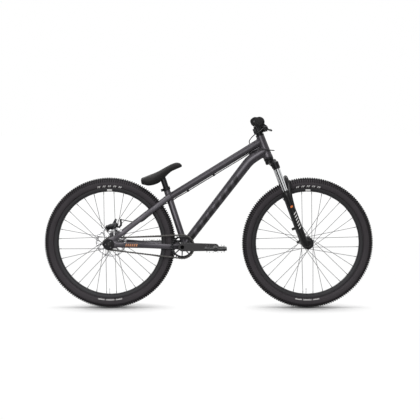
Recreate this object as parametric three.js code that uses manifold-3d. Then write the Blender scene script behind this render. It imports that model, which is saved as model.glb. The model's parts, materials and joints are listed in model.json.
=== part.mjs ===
// Dirt jump bicycle: hardtail frame, suspension fork, one chainring, one cog and a rear disc brake.
// Millimetres. +X points forward, +Y to the rider's left, +Z up. The origin lies on the ground,
// halfway between the axles, in the middle plane of the bicycle.
import * as THREE from 'three';
import { mergeVertices } from 'three/addons/utils/BufferGeometryUtils.js';
import Module from 'manifold-3d';

const wasm = await Module();
wasm.setup();

// Driving dimensions of the whole bicycle
const tyreRadius = 339.5;
const tyreWidth = 56;
const headAngle = THREE.MathUtils.degToRad(69.2);
const seatAngle = THREE.MathUtils.degToRad(72);
const forkOffset = 35;
const bottomBracketDrop = 14.5;
const bottomBracketRadius = 21;
const clearance = 0.3;
const overrun = 5;

// Room that the frame leaves round the tyres: behind the bottom bracket, ahead of it, under the fork's
// crown and under the saddle. The larger places of the bicycle follow from these.
const chainstayRoom = 16.5;
const frontRoom = 308.166;
const crownRoom = 146.5;
const seatTubeBelowTyre = 21.5;
const frontCentre = tyreRadius + frontRoom;

// Chain drive. Links come in pairs, and as many as reach past the rear tyre.
const chainPitch = 12.7;
const chainringTeeth = 30;
const cogTeeth = 15;
const chainLine = 50;
const plateHalfHeight = 4.2;
const plateInnerHalfGap = 1.75;
const plateOuterHalfWidth = 4.2;
const rollerRadius = 3.9;
const toothHeight = 3;
const toothDepth = 4.2;
const sprocketThickness = 2.8;
const chainringPitchRadius = chainPitch / (2 * Math.sin(Math.PI / chainringTeeth));
const cogPitchRadius = chainPitch / (2 * Math.sin(Math.PI / cogTeeth));
const leastDistance = tyreRadius + bottomBracketRadius + chainstayRoom;
const chainLinks = 2 * Math.round(leastDistance / chainPitch + (chainringTeeth + cogTeeth) / 4);

// The chain closes on itself, so its link count sets how far apart the two sprockets sit.
const pitchRadiusStep = chainringPitchRadius - cogPitchRadius;
const freeRun = ((chainLinks - (chainringTeeth + cogTeeth) / 2) * chainPitch) / 2;
const sprocketDistance = (freeRun + Math.sqrt(freeRun ** 2 - 2 * pitchRadiusStep ** 2)) / 2;

// Places of the axles and of the steering axis. The two runs from the bottom bracket make the wheelbase.
const rearCentre = Math.sqrt(sprocketDistance ** 2 - bottomBracketDrop ** 2);
const wheelbase = rearCentre + frontCentre;
const rearAxlePoint = new THREE.Vector3(-wheelbase / 2, 0, tyreRadius);
const bottomBracketPoint = new THREE.Vector3(
  rearAxlePoint.x + rearCentre,
  0,
  tyreRadius - bottomBracketDrop,
);
const headTilt = Math.PI / 2 - headAngle;
const steeringUp = new THREE.Vector3(-Math.sin(headTilt), 0, Math.cos(headTilt));
const steeringForward = new THREE.Vector3(Math.cos(headTilt), 0, Math.sin(headTilt));
const steeringPoint = new THREE.Vector3(wheelbase / 2, 0, tyreRadius).addScaledVector(
  steeringForward,
  -forkOffset,
);
const seatTilt = Math.PI / 2 - seatAngle;
const seatTubeLead = 12;
const seatTubePoint = new THREE.Vector3(
  bottomBracketPoint.x + seatTubeLead / Math.sin(seatAngle),
  0,
  bottomBracketPoint.z,
);

// Finishes
const finish = (color, roughness, metalness) => new THREE.MeshStandardMaterial({ color, roughness, metalness });
const framePaint = finish(0x47454a, 0.5, 0.3);
const blackPaint = finish(0x17171a, 0.45, 0.3);
const blackAlloy = finish(0x222226, 0.4, 0.8);
const tyreRubber = finish(0x1b1b1c, 0.85, 0);
const gripRubber = finish(0x141415, 0.9, 0);
const brightSteel = finish(0xb9babc, 0.25, 0.95);
const chromeSteel = finish(0xdadbde, 0.1, 1);
const chainSteel = finish(0x8e8b86, 0.35, 0.9);
const blackPlastic = finish(0x1a1a1b, 0.6, 0);
const saddleCover = finish(0x19191a, 0.7, 0);
const housingPlastic = finish(0x111112, 0.5, 0);

// Solids: closing a geometry for joining and cutting, and turning the result back
function solidOf(geometry) {
  const bare = geometry.clone();
  bare.deleteAttribute('normal');
  bare.deleteAttribute('uv');
  const merged = mergeVertices(bare);
  const vertProperties = new Float32Array(merged.attributes.position.array);
  const triVerts = new Uint32Array(merged.index.array);
  return new wasm.Manifold(new wasm.Mesh({ numProp: 3, vertProperties, triVerts }));
}

function geometryOf(solid) {
  const mesh = solid.getMesh();
  const geometry = new THREE.BufferGeometry();
  geometry.setAttribute('position', new THREE.BufferAttribute(new Float32Array(mesh.vertProperties), 3));
  geometry.setIndex(new THREE.BufferAttribute(new Uint32Array(mesh.triVerts), 1));
  geometry.computeVertexNormals();
  return geometry;
}

function join(solids) {
  return solids.reduce((whole, piece) => whole.add(piece));
}

function cut(solid, tools) {
  return tools.reduce((rest, tool) => rest.subtract(tool), solid);
}

function addPiece(group, name, solid, material) {
  const mesh = new THREE.Mesh(geometryOf(solid), material);
  mesh.name = name;
  group.add(mesh);
}

// A solid of straight sides between rings of equally many points, closed by a fan at each end
function loftSolid(rings) {
  const count = rings[0].length;
  const positions = [];
  const triangles = [];
  rings.forEach((ring) => ring.forEach((point) => positions.push(point.x, point.y, point.z)));
  for (let row = 0; row + 1 < rings.length; row += 1) {
    for (let side = 0; side < count; side += 1) {
      const next = (side + 1) % count;
      const here = row * count;
      const there = here + count;
      triangles.push(here + side, here + next, there + next);
      triangles.push(here + side, there + next, there + side);
    }
  }
  const ends = [[0, -1], [rings.length - 1, 1]];
  ends.forEach(([row, way]) => {
    const middle = new THREE.Vector3();
    rings[row].forEach((point) => middle.addScaledVector(point, 1 / count));
    const hub = positions.length / 3;
    positions.push(middle.x, middle.y, middle.z);
    for (let side = 0; side < count; side += 1) {
      const next = (side + 1) % count;
      const pair = way > 0 ? [row * count + side, row * count + next] : [row * count + next, row * count + side];
      triangles.push(hub, ...pair);
    }
  });
  const geometry = new THREE.BufferGeometry();
  geometry.setAttribute('position', new THREE.Float32BufferAttribute(positions, 3));
  geometry.setIndex(triangles);
  return solidOf(geometry);
}

// A tube through stations. Each station has its place, its width across the bicycle and its height.
function tubeSolid(stations, sides, across = new THREE.Vector3(0, 1, 0), growth = 0) {
  const places = stations.map((station) => station.at);
  const rings = stations.map((station, index) => {
    const before = places[Math.max(index - 1, 0)];
    const after = places[Math.min(index + 1, places.length - 1)];
    const arriving = station.at.clone().sub(before).normalize();
    const leaving = after.clone().sub(station.at).normalize();
    const along = arriving.add(leaving).normalize();
    const side = across.clone().addScaledVector(along, -across.dot(along)).normalize();
    const up = along.clone().cross(side);
    const ring = [];
    for (let step = 0; step < sides; step += 1) {
      const angle = (2 * Math.PI * (step + 0.5)) / sides;
      const point = station.at.clone();
      point.addScaledVector(side, Math.cos(angle) * (station.wide / 2 + growth));
      point.addScaledVector(up, Math.sin(angle) * (station.tall / 2 + growth));
      ring.push(point);
    }
    return ring;
  });
  return loftSolid(rings);
}

// Round bars and rings
function barZ(radius, low, high, sides = 24) {
  const geometry = new THREE.CylinderGeometry(radius, radius, high - low, sides);
  return solidOf(geometry.rotateX(Math.PI / 2).translate(0, 0, (low + high) / 2));
}

function barY(radius, low, high, sides = 24) {
  const geometry = new THREE.CylinderGeometry(radius, radius, high - low, sides);
  return solidOf(geometry.translate(0, (low + high) / 2, 0));
}

function coneZ(lowRadius, highRadius, low, high, sides = 24) {
  const geometry = new THREE.CylinderGeometry(highRadius, lowRadius, high - low, sides);
  return solidOf(geometry.rotateX(Math.PI / 2).translate(0, 0, (low + high) / 2));
}

function ringY(outer, inner, low, high, sides = 24) {
  return barY(outer, low, high, sides).subtract(barY(inner, low - overrun, high + overrun, sides));
}

function ringZ(outer, inner, low, high, sides = 24) {
  return barZ(outer, low, high, sides).subtract(barZ(inner, low - overrun, high + overrun, sides));
}

function box(low, high) {
  const size = high.clone().sub(low);
  const geometry = new THREE.BoxGeometry(size.x, size.y, size.z);
  return solidOf(geometry.translate((low.x + high.x) / 2, (low.y + high.y) / 2, (low.z + high.z) / 2));
}

function boxOf(lowX, highX, lowY, highY, lowZ, highZ) {
  return box(new THREE.Vector3(lowX, lowY, lowZ), new THREE.Vector3(highX, highY, highZ));
}

// A flat plate drawn in the X-Z plane, from one Y to a higher one
function plateXZ(shape, low, high, curveSegments = 12) {
  const geometry = new THREE.ExtrudeGeometry(shape, {
    depth: high - low,
    bevelEnabled: false,
    curveSegments,
  });
  return solidOf(geometry.rotateX(Math.PI / 2).translate(0, high, 0));
}

// A closed profile of [radius, y] corners turned about the Y axis
function turnedY(profile, segments) {
  const points = profile.map(([radius, y]) => new THREE.Vector2(radius, y));
  points.push(points[0].clone());
  const solid = solidOf(new THREE.LatheGeometry(points, segments));
  return solid;
}

// Points along an arc about the origin of a drawn plate
function arcPoints(radius, from, to, steps) {
  const points = [];
  for (let step = 0; step <= steps; step += 1) {
    const angle = THREE.MathUtils.lerp(from, to, step / steps);
    points.push(new THREE.Vector2(radius * Math.cos(angle), radius * Math.sin(angle)));
  }
  return points;
}

function circlePoints(radius, steps) {
  return arcPoints(radius, 0, 2 * Math.PI, steps).slice(0, -1);
}

// The outline of a belt round two circles, as the chain runs: the first circle is the rear one
function beltPath(target, rearRadius, frontRadius, distance) {
  const slope = Math.asin((frontRadius - rearRadius) / distance);
  const upper = Math.PI / 2 + slope;
  target.absarc(0, 0, rearRadius, upper, 2 * Math.PI - upper, false);
  target.absarc(distance, 0, frontRadius, -upper, upper, false);
  target.closePath();
  return target;
}

// An outline round two discs of unlike radius, used for the crank arms and the brake levers
function taperedLink(rearRadius, frontRadius, length) {
  return beltPath(new THREE.Shape(), rearRadius, frontRadius, length);
}

function mirrorY(solid) {
  return solid.mirror([0, 1, 0]);
}

const bike = new THREE.Group();

// Wheels
const tyreWall = 3.5;
const tyreSegments = 32;
const rimSegments = 32;
const tyreHeight = 53.5;
const beadHalfWidth = 11.7;
const rimHalfWidth = 15;
const rimDepth = 19.4;
const rimWellDepth = 13;
const rimShoulderDepth = 14;
const rimRadius = tyreRadius - tyreHeight;
const rimInnerRadius = rimRadius - rimDepth;
const rimBedRadius = rimRadius - rimWellDepth;
const rimShoulderRadius = rimRadius - rimShoulderDepth;
const beadRoom = 1;
const beadRadius = rimBedRadius + beadRoom;
const rimWall = 2.6;
const rimNoseHalfWidth = 6.5;
const spokeThickness = 2.2;
const spokesPerSide = 16;
const crossings = 3;
const lacingTurn = THREE.MathUtils.degToRad(6.75);
const rimSpokeOffset = 2.8;
const spokeHeadSpread = 2.6;
const spokeEndSpread = 1.3;

const tyreCrownShares = [[1, 0.47], [0.82, 0.84], [0.36, 0.99]];

function tyreProfile(inset) {
  const halfWidth = tyreWidth / 2 - inset;
  const height = tyreRadius - inset - rimRadius;
  const rightSide = tyreCrownShares.map(([wideShare, highShare]) => [
    rimRadius + highShare * height,
    -wideShare * halfWidth,
  ]);
  const leftSide = rightSide.map(([radius, y]) => [radius, -y]).reverse();
  return [...rightSide, [tyreRadius - inset, 0], ...leftSide];
}

function tyre() {
  const outer = tyreProfile(0);
  const inner = tyreProfile(tyreWall).reverse().filter((corner, index) => index % 2 === 0);
  const beadOuter = beadHalfWidth;
  const beadInner = beadHalfWidth - tyreWall;
  const profile = [
    [beadRadius, -beadInner],
    [beadRadius, -beadOuter],
    [rimRadius + clearance, -beadOuter],
    ...outer,
    [rimRadius + clearance, beadOuter],
    [beadRadius, beadOuter],
    [beadRadius, beadInner],
    [rimRadius + tyreWall, beadInner],
    ...inner,
    [rimRadius + tyreWall, -beadInner],
  ];
  return turnedY(profile, tyreSegments);
}

function rim() {
  const wellHalf = rimHalfWidth - rimWall;
  const profile = [
    [rimRadius, -rimHalfWidth],
    [rimRadius, -wellHalf],
    [rimBedRadius, -wellHalf],
    [rimBedRadius, wellHalf],
    [rimRadius, wellHalf],
    [rimRadius, rimHalfWidth],
    [rimShoulderRadius, rimHalfWidth],
    [rimInnerRadius, rimNoseHalfWidth],
    [rimInnerRadius, -rimNoseHalfWidth],
    [rimShoulderRadius, -rimHalfWidth],
  ];
  return turnedY(profile, rimSegments);
}

function polar(radius, angle, y) {
  return new THREE.Vector3(radius * Math.cos(angle), y, radius * Math.sin(angle));
}

// A straight spoke of three sides
function spokeBar(start, end) {
  const along = end.clone().sub(start).normalize();
  const side = new THREE.Vector3(0, 1, 0);
  side.addScaledVector(along, -side.dot(along)).normalize();
  const up = along.clone().cross(side);
  const half = spokeThickness / 2;
  const corners = [[half, -half / 2], [0, half], [-half, -half / 2]];
  return loftSolid([start, end].map((at) => corners.map(([aside, above]) => (
    at.clone().addScaledVector(side, aside).addScaledVector(up, above)
  ))));
}

// One side of the lacing. Eight spokes leave the outer face of the flange and lean forward, eight leave
// the inner face and lean back, so they pass one another. Their heads form a ring round the flange.
function spokeSet(flangeRadius, flangeY, side, turn) {
  const pitch = (2 * Math.PI) / spokesPerSide;
  const startRadius = flangeRadius + spokeThickness;
  const endRadius = rimInnerRadius * Math.cos(Math.PI / rimSegments) - spokeThickness / 2;
  const headHalf = spokeHeadSpread + spokeThickness / 2 + clearance;
  const ringInner = flangeRadius + clearance;
  const ringOuter = flangeRadius + 2 * spokeThickness;
  const low = side * flangeY - headHalf;
  const pieces = [ringY(ringOuter, ringInner, low, low + 2 * headHalf, spokesPerSide)];
  for (let index = 0; index < spokesPerSide; index += 1) {
    const lean = index % 2 === 0 ? 1 : -1;
    const angle = turn + index * pitch;
    const startY = side * (flangeY + lean * spokeHeadSpread);
    const endY = side * (rimSpokeOffset + lean * spokeEndSpread);
    const start = polar(startRadius, angle, startY);
    const end = polar(endRadius, angle + lean * crossings * pitch, endY);
    pieces.push(spokeBar(start, end));
  }
  return join(pieces);
}

// Hubs, axles and the rear freewheel
const axleRadius = 5;
const rearHubHalfWidth = 67.5;
const frontHubHalfWidth = 50;
const flangeRadius = 31;
const flangeThickness = 3.4;
const flangeY = 33;
const frontFlangeY = 31;
const hubBarrelRadius = 16;
const frontSeatEnd = 38;
const hubEndRadius = 13;
const hubEndLength = 8;
const dropoutThickness = 6;
const cogSeatRadius = 17;
const rotorSeatRadius = 22;
const rotorInset = 17.2;
const rotorY = rearHubHalfWidth - rotorInset;
const rotorThickness = 2;
const rotorRadius = 80;
const rotorTrackWidth = 14;
const rotorArms = 6;
const nutRadius = 10.5;
const nutLength = 9;
const axleOverhang = 5;

function hub(halfWidth, flange, rightSeatRadius, leftSeatRadius, leftSeatEnd) {
  const bore = axleRadius + clearance;
  const end = halfWidth - hubEndLength;
  const inner = flange - flangeThickness;
  const profile = [
    [bore, -end],
    [hubEndRadius, -end],
    [rightSeatRadius, -end + flangeThickness],
    [rightSeatRadius, -flange],
    [flangeRadius, -flange],
    [flangeRadius, -inner],
    [hubBarrelRadius, -inner + hubEndLength / 2],
    [hubBarrelRadius, inner - hubEndLength / 2],
    [flangeRadius, inner],
    [flangeRadius, flange],
    [leftSeatRadius, flange],
    [leftSeatRadius, leftSeatEnd],
    [hubEndRadius, leftSeatEnd],
    [hubEndRadius, end],
    [bore, end],
  ];
  return turnedY(profile, 16);
}

// An axle with its two cones inside the dropouts and its two nuts outside them
function axle(halfWidth, outerFace) {
  const reach = outerFace + nutLength + axleOverhang;
  const pieces = [barY(axleRadius, -reach, reach, 12)];
  [-1, 1].forEach((side) => {
    const cone = [halfWidth - hubEndLength + clearance, halfWidth].map((y) => side * y);
    const nut = [outerFace + clearance, outerFace + clearance + nutLength].map((y) => side * y);
    pieces.push(barY(hubEndRadius - rimWall, Math.min(...cone), Math.max(...cone), 12));
    pieces.push(barY(nutRadius, Math.min(...nut), Math.max(...nut), 6));
  });
  return join(pieces);
}

function rotor() {
  const armRoot = rotorSeatRadius + 2 * rimWall;
  const trackInner = rotorRadius - rotorTrackWidth;
  const shape = new THREE.Shape(circlePoints(rotorRadius, 36));
  shape.holes.push(new THREE.Path(circlePoints(cogSeatRadius, 16)));
  const pitch = (2 * Math.PI) / rotorArms;
  const armHalf = pitch / 8;
  for (let index = 0; index < rotorArms; index += 1) {
    const from = index * pitch + armHalf;
    const to = (index + 1) * pitch - armHalf;
    const lean = 2 * armHalf;
    const outerEdge = arcPoints(trackInner, from + lean, to + lean, 5);
    const innerEdge = arcPoints(armRoot, to, from, 2);
    shape.holes.push(new THREE.Path([...outerEdge, ...innerEdge]));
  }
  return plateXZ(shape, rotorY, rotorY + rotorThickness);
}

const toothShares = [[-0.36, 0], [-0.13, 1], [0.13, 1], [0.36, 0]];

function sprocketShape(teeth, pitchRadius, boreRadius) {
  const points = [];
  for (let tooth = 0; tooth < teeth; tooth += 1) {
    toothShares.forEach(([angleShare, heightShare]) => {
      const angle = (2 * Math.PI * (tooth + 0.5 + angleShare)) / teeth;
      const radius = pitchRadius - toothDepth + heightShare * (toothDepth + toothHeight);
      points.push(new THREE.Vector2(radius * Math.cos(angle), radius * Math.sin(angle)));
    });
  }
  const shape = new THREE.Shape(points);
  shape.holes.push(new THREE.Path(circlePoints(boreRadius, 16)));
  return shape;
}

function rearCog() {
  const shape = sprocketShape(cogTeeth, cogPitchRadius, cogSeatRadius + 2 * clearance);
  return plateXZ(shape, -chainLine - sprocketThickness / 2, -chainLine + sprocketThickness / 2);
}

function wheel(group, end, hubSolid, flangePlace) {
  addPiece(group, `${end}_tyre`, tyre(), tyreRubber);
  addPiece(group, `${end}_rim`, rim(), blackAlloy);
  const halfPitch = Math.PI / spokesPerSide;
  const right = spokeSet(flangeRadius, flangePlace, -1, lacingTurn);
  const left = spokeSet(flangeRadius, flangePlace, 1, lacingTurn + halfPitch);
  addPiece(group, `${end}_spokes_right`, right, brightSteel);
  addPiece(group, `${end}_spokes_left`, left, brightSteel);
  addPiece(group, `${end}_hub`, hubSolid, blackAlloy);
}

const rearWheel = new THREE.Group();
rearWheel.position.copy(rearAxlePoint);
bike.add(rearWheel);
const rearHub = hub(rearHubHalfWidth, flangeY, cogSeatRadius, rotorSeatRadius, rotorY - clearance);
wheel(rearWheel, 'rear', rearHub, flangeY - flangeThickness / 2);
addPiece(rearWheel, 'brake_rotor', rotor(), brightSteel);
addPiece(rearWheel, 'rear_cog', rearCog(), chainSteel);
const rearDropoutFace = rearHubHalfWidth + clearance + dropoutThickness;
addPiece(rearWheel, 'rear_axle', axle(rearHubHalfWidth, rearDropoutFace), chainSteel);

// Frame tubes
const headTubeLow = tyreRadius + crownRoom;
const headTubeLength = 121.5;
const headTubeHigh = headTubeLow + headTubeLength;
const headTubeLowRadius = 25;
const headTubeHighRadius = 21.5;
const headTubeBore = 17;
const bottomBracketHalfWidth = 36.5;
const spindleRadius = 12;
const seatTubeRadius = 17;
const seatPostRadius = 15;
const seatTubeLength = tyreRadius - seatTubeBelowTyre;
const topTubeBelowSeatEnd = 54;
const topTubeSeatJoin = seatTubeLength - topTubeBelowSeatEnd;
const topTubeBelowHeadEnd = 28;
const topTubeHeadJoin = headTubeHigh - topTubeBelowHeadEnd;
const topTubeLowHeight = 36;
const topTubeHighHeight = 40;
const downTubeAboveHeadEnd = 42;
const downTubeHeadJoin = headTubeLow + downTubeAboveHeadEnd;
const downTubeHeadAngle = THREE.MathUtils.degToRad(33);
const downTubeCornerReach = 95;
const downTubeBendLength = 30;
const downTubeDrop = 8;
const downTubeLowHeight = 41.5;
const downTubeHighHeight = 54.5;
const downTubeWidthShare = 0.92;
const topTubeWidthShare = 0.94;
const frameSides = 16;

function onSteering(along, ahead = 0) {
  return steeringPoint.clone().addScaledVector(steeringUp, along).addScaledVector(steeringForward, ahead);
}

const seatUp = new THREE.Vector3(-Math.sin(seatTilt), 0, Math.cos(seatTilt));
const seatForward = new THREE.Vector3(Math.cos(seatTilt), 0, Math.sin(seatTilt));

function onSeatTube(along, ahead = 0) {
  return seatTubePoint.clone().addScaledVector(seatUp, along).addScaledVector(seatForward, ahead);
}

function inSteeringFrame(solid) {
  const degrees = THREE.MathUtils.radToDeg(headTilt);
  return solid.rotate([0, -degrees, 0]).translate(steeringPoint.toArray());
}

function inSeatFrame(solid) {
  const degrees = THREE.MathUtils.radToDeg(seatTilt);
  return solid.rotate([0, -degrees, 0]).translate(seatTubePoint.toArray());
}

function atPoint(solid, point) {
  return solid.translate(point.toArray());
}

const headTubeBody = (growth) => inSteeringFrame(
  coneZ(headTubeLowRadius + growth, headTubeHighRadius + growth, headTubeLow, headTubeHigh),
);
const headTube = headTubeBody(0).subtract(
  inSteeringFrame(barZ(headTubeBore, headTubeLow - overrun, headTubeHigh + overrun)),
);
const seatTubeBody = (growth) => inSeatFrame(barZ(seatTubeRadius + growth, 0, seatTubeLength));
const shellBody = (growth) => atPoint(
  barY(bottomBracketRadius + growth, -bottomBracketHalfWidth - growth, bottomBracketHalfWidth + growth),
  bottomBracketPoint,
);
const shellBore = atPoint(
  barY(spindleRadius + clearance, -bottomBracketHalfWidth - overrun, bottomBracketHalfWidth + overrun),
  bottomBracketPoint,
);
const seatTube = cut(seatTubeBody(0), [
  inSeatFrame(barZ(seatPostRadius + clearance, bottomBracketRadius + overrun, seatTubeLength + overrun)),
  shellBody(clearance),
]);

function topTubeBody(growth) {
  const low = onSeatTube(topTubeSeatJoin);
  const high = onSteering(topTubeHeadJoin);
  const stations = [0, 0.5, 1].map((share) => {
    const tall = THREE.MathUtils.lerp(topTubeLowHeight, topTubeHighHeight, share);
    return { at: low.clone().lerp(high, share), wide: tall * topTubeWidthShare, tall };
  });
  return tubeSolid(stations, frameSides, new THREE.Vector3(0, 1, 0), growth);
}

function topTubeSolid() {
  return cut(topTubeBody(0), [headTubeBody(clearance), seatTubeBody(clearance)]);
}

function downTubeStations() {
  const foot = bottomBracketPoint.clone().add(new THREE.Vector3(0, 0, -downTubeDrop));
  const top = onSteering(downTubeHeadJoin);
  const corner = top.clone().add(new THREE.Vector3(
    -downTubeCornerReach * Math.cos(downTubeHeadAngle),
    0,
    -downTubeCornerReach * Math.sin(downTubeHeadAngle),
  ));
  const bendStart = corner.clone().lerp(foot, downTubeBendLength / corner.distanceTo(foot));
  const bendEnd = corner.clone().lerp(top, downTubeBendLength / corner.distanceTo(top));
  const bend = new THREE.QuadraticBezierCurve3(bendStart, corner, bendEnd);
  const places = [foot, ...bend.getPoints(3), top];
  const lengths = places.map((place) => place.distanceTo(foot));
  const whole = lengths[lengths.length - 1];
  return places.map((at, index) => {
    const share = lengths[index] / whole;
    const tall = THREE.MathUtils.lerp(downTubeLowHeight, downTubeHighHeight, share);
    return { at, wide: tall * downTubeWidthShare, tall };
  });
}

function downTubeSolid() {
  const tube = tubeSolid(downTubeStations(), frameSides);
  return cut(tube, [headTubeBody(clearance), seatTubeBody(clearance), shellBody(clearance)]);
}

const frame = new THREE.Group();
bike.add(frame);
addPiece(frame, 'head_tube', headTube, framePaint);
addPiece(frame, 'seat_tube', seatTube, framePaint);
addPiece(frame, 'bottom_bracket_shell', shellBody(0).subtract(shellBore), framePaint);
addPiece(frame, 'top_tube', topTubeSolid(), framePaint);
addPiece(frame, 'down_tube', downTubeSolid(), framePaint);

// Stays and dropouts
const chainstayHeight = 28;
const chainstayDrop = 4;
const chainstayWidth = 14;
const seatstayWidth = 16;
const seatstayTopHeight = 30;
const seatstayRearHeight = 24;
const tyreGap = 4;
const dropoutRadius = 28;
const lobeRadius = 10;
const lobeReach = 58;
const stayStart = 34;
const seatstayFootRise = 30.7;
const seatstayAboveTopTube = 6.5;
const brakeTabHalfLength = 16;
const brakeTabHeight = 60;
const bridgeRadius = 7;
const bridgeGap = 9;
const staySides = 14;
const dropoutInner = rearHubHalfWidth + clearance;
const dropoutOuter = dropoutInner + dropoutThickness;
const dropoutMiddle = (dropoutInner + dropoutOuter) / 2;
const tyreSideY = tyreWidth / 2 + tyreGap;

const seatstayTop = onSeatTube(topTubeSeatJoin + seatstayAboveTopTube, seatTubeRadius / 2);
const seatstayRun = seatstayTop.x - rearAxlePoint.x - stayStart;
const seatstayFoot = new THREE.Vector3(seatstayTop.x - seatstayRun, 0, rearAxlePoint.z + seatstayFootRise);
const seatstayAngle = Math.atan2(seatstayTop.z - seatstayFoot.z, seatstayRun);
const chainstayFoot = rearAxlePoint.clone().lerp(bottomBracketPoint, stayStart / sprocketDistance);
const chainstayEnd = bottomBracketPoint.clone().add(new THREE.Vector3(0, 0, -chainstayDrop));

function atSide(low, high, share, y) {
  const place = low.clone().lerp(high, share);
  place.y = y;
  return place;
}

// How far out each stay runs, at shares of its length from the dropout
const seatstayBesideTyre = tyreSideY + seatstayWidth / 2;
const seatstayAtTop = seatTubeRadius + clearance + seatstayWidth / 2;
const seatstayShares = [
  [0, dropoutMiddle],
  [0.14, dropoutMiddle - clearance],
  [0.45, seatstayBesideTyre + tyreGap],
  [0.72, seatstayBesideTyre],
  [0.86, (seatstayBesideTyre + seatstayAtTop) / 2],
  [1, seatstayAtTop],
];
const chainstayBesideTyre = tyreWidth / 2 + (tyreGap + chainstayWidth) / 2;
const chainstayShares = [
  [0, dropoutMiddle],
  [0.12, dropoutMiddle - clearance],
  [0.42, chainstayBesideTyre + chainstayWidth / 2],
  [0.6, chainstayBesideTyre + clearance],
  [0.8, chainstayBesideTyre],
  [1, bottomBracketHalfWidth - chainstayWidth / 2 - tyreGap],
];

function betweenShares(table, share) {
  const next = Math.max(table.findIndex(([along]) => along >= share), 1);
  const [fromShare, fromValue] = table[next - 1];
  const [toShare, toValue] = table[next];
  return THREE.MathUtils.mapLinear(share, fromShare, toShare, fromValue, toValue);
}

function seatstayStation(share) {
  return {
    at: atSide(seatstayFoot, seatstayTop, share, betweenShares(seatstayShares, share)),
    wide: seatstayWidth,
    tall: THREE.MathUtils.lerp(seatstayRearHeight, seatstayTopHeight, share),
  };
}

function chainstayStation(share) {
  return {
    at: atSide(chainstayFoot, chainstayEnd, share, betweenShares(chainstayShares, share)),
    wide: chainstayWidth,
    tall: chainstayHeight,
  };
}

function seatstaySolid() {
  return tubeSolid(seatstayShares.map(([share]) => seatstayStation(share)), staySides);
}

function chainstaySolid() {
  return tubeSolid(chainstayShares.map(([share]) => chainstayStation(share)), staySides);
}

function seatstayDirection() {
  return Math.atan2(seatstayFoot.z - rearAxlePoint.z, seatstayFoot.x - rearAxlePoint.x);
}

// A round plate with a lobe in each stay, and on the left a tab that carries the brake
function dropoutBody(withBrakeTab, growth) {
  const low = dropoutInner - growth;
  const high = dropoutOuter + growth;
  const lobe = () => plateXZ(taperedLink(dropoutRadius + growth, lobeRadius + growth, lobeReach), low, high, 8);
  const seatDegrees = THREE.MathUtils.radToDeg(seatstayDirection());
  const chainDegrees = THREE.MathUtils.radToDeg(-Math.asin(bottomBracketDrop / sprocketDistance));
  const pieces = [lobe().rotate([0, -seatDegrees, 0]), lobe().rotate([0, -chainDegrees, 0])];
  if (withBrakeTab) {
    const half = brakeTabHalfLength + growth;
    pieces.push(boxOf(-half, half, low, high, 0, brakeTabHeight + growth));
  }
  return atPoint(join(pieces), rearAxlePoint);
}

function dropoutSlot() {
  const half = axleRadius + clearance;
  const low = dropoutInner - overrun;
  const high = dropoutOuter + overrun;
  const slot = boxOf(-dropoutRadius - overrun, 0, low, high, -half, half);
  return atPoint(slot.add(barY(half, low, high, 16)), rearAxlePoint);
}

const plainStayCutters = [seatTubeBody(clearance), shellBody(clearance)];
const rightPlate = dropoutBody(false, clearance);
const leftPlate = dropoutBody(true, clearance);
const seatstayRight = mirrorY(cut(seatstaySolid(), [...plainStayCutters, rightPlate]));
const seatstayLeft = cut(seatstaySolid(), [...plainStayCutters, leftPlate]);
const chainstayRight = mirrorY(cut(chainstaySolid(), [...plainStayCutters, rightPlate]));
const chainstayLeft = cut(chainstaySolid(), [...plainStayCutters, leftPlate]);
addPiece(frame, 'seatstay_right', seatstayRight, framePaint);
addPiece(frame, 'seatstay_left', seatstayLeft, framePaint);
addPiece(frame, 'chainstay_right', chainstayRight, framePaint);
addPiece(frame, 'chainstay_left', chainstayLeft, framePaint);
addPiece(frame, 'dropout_right', mirrorY(dropoutBody(false, 0).subtract(dropoutSlot())), framePaint);
addPiece(frame, 'dropout_left', dropoutBody(true, 0).subtract(dropoutSlot()), framePaint);

// The bridge sits where the stays have just cleared the tyre.
function seatstayBridge() {
  const reach = tyreRadius + bridgeGap + bridgeRadius;
  const slope = Math.tan(seatstayAngle);
  const rise = seatstayTop.z - rearAxlePoint.z - (seatstayTop.x - rearAxlePoint.x) * slope;
  const square = 1 + slope ** 2;
  const half = rise * slope;
  const run = (Math.sqrt(half ** 2 - square * (rise ** 2 - reach ** 2)) - half) / square;
  const { at } = seatstayStation((run - stayStart) / seatstayRun);
  const stay = seatstaySolid();
  const inward = stay.translate([0, -clearance, 0]);
  const bar = barY(bridgeRadius, -at.y, at.y, 12).translate([at.x, 0, at.z]);
  return cut(bar, [stay, inward, mirrorY(stay), mirrorY(inward)]);
}

addPiece(frame, 'seatstay_bridge', seatstayBridge(), framePaint);

// Screws in the ends of the dropout slots, which pull the axle back and tighten the chain
const tensionerCapLength = 8;
const tensionerCapHalfHeight = 9;
const tensionerScrewRadius = 2.5;
const tensionerCapOverhang = 3;

function tensioner() {
  const capFront = -dropoutRadius - clearance;
  const cap = boxOf(
    capFront - tensionerCapLength,
    capFront,
    dropoutInner - tensionerCapOverhang,
    dropoutOuter + tensionerCapOverhang,
    -tensionerCapHalfHeight,
    tensionerCapHalfHeight,
  );
  const screw = barZ(tensionerScrewRadius, axleRadius + clearance, dropoutRadius + tensionerCapLength, 10);
  const screwInSlot = screw.rotate([0, -90, 0]).translate([0, dropoutMiddle, 0]);
  return atPoint(cap.add(screwInSlot), rearAxlePoint);
}

addPiece(frame, 'chain_tensioner_left', tensioner(), chainSteel);
addPiece(frame, 'chain_tensioner_right', mirrorY(tensioner()), chainSteel);

// Headset cups, pressed into the head tube, with room for the steerer
const steererRadius = 14.3;
const cupCollarDepth = 14;
const lowerCupHeight = 14;
const upperCupHeight = 7;
const lowerCupLow = headTubeLow - lowerCupHeight;
const upperCupHigh = headTubeHigh + upperCupHeight;
const cupRadius = 22;

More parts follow.
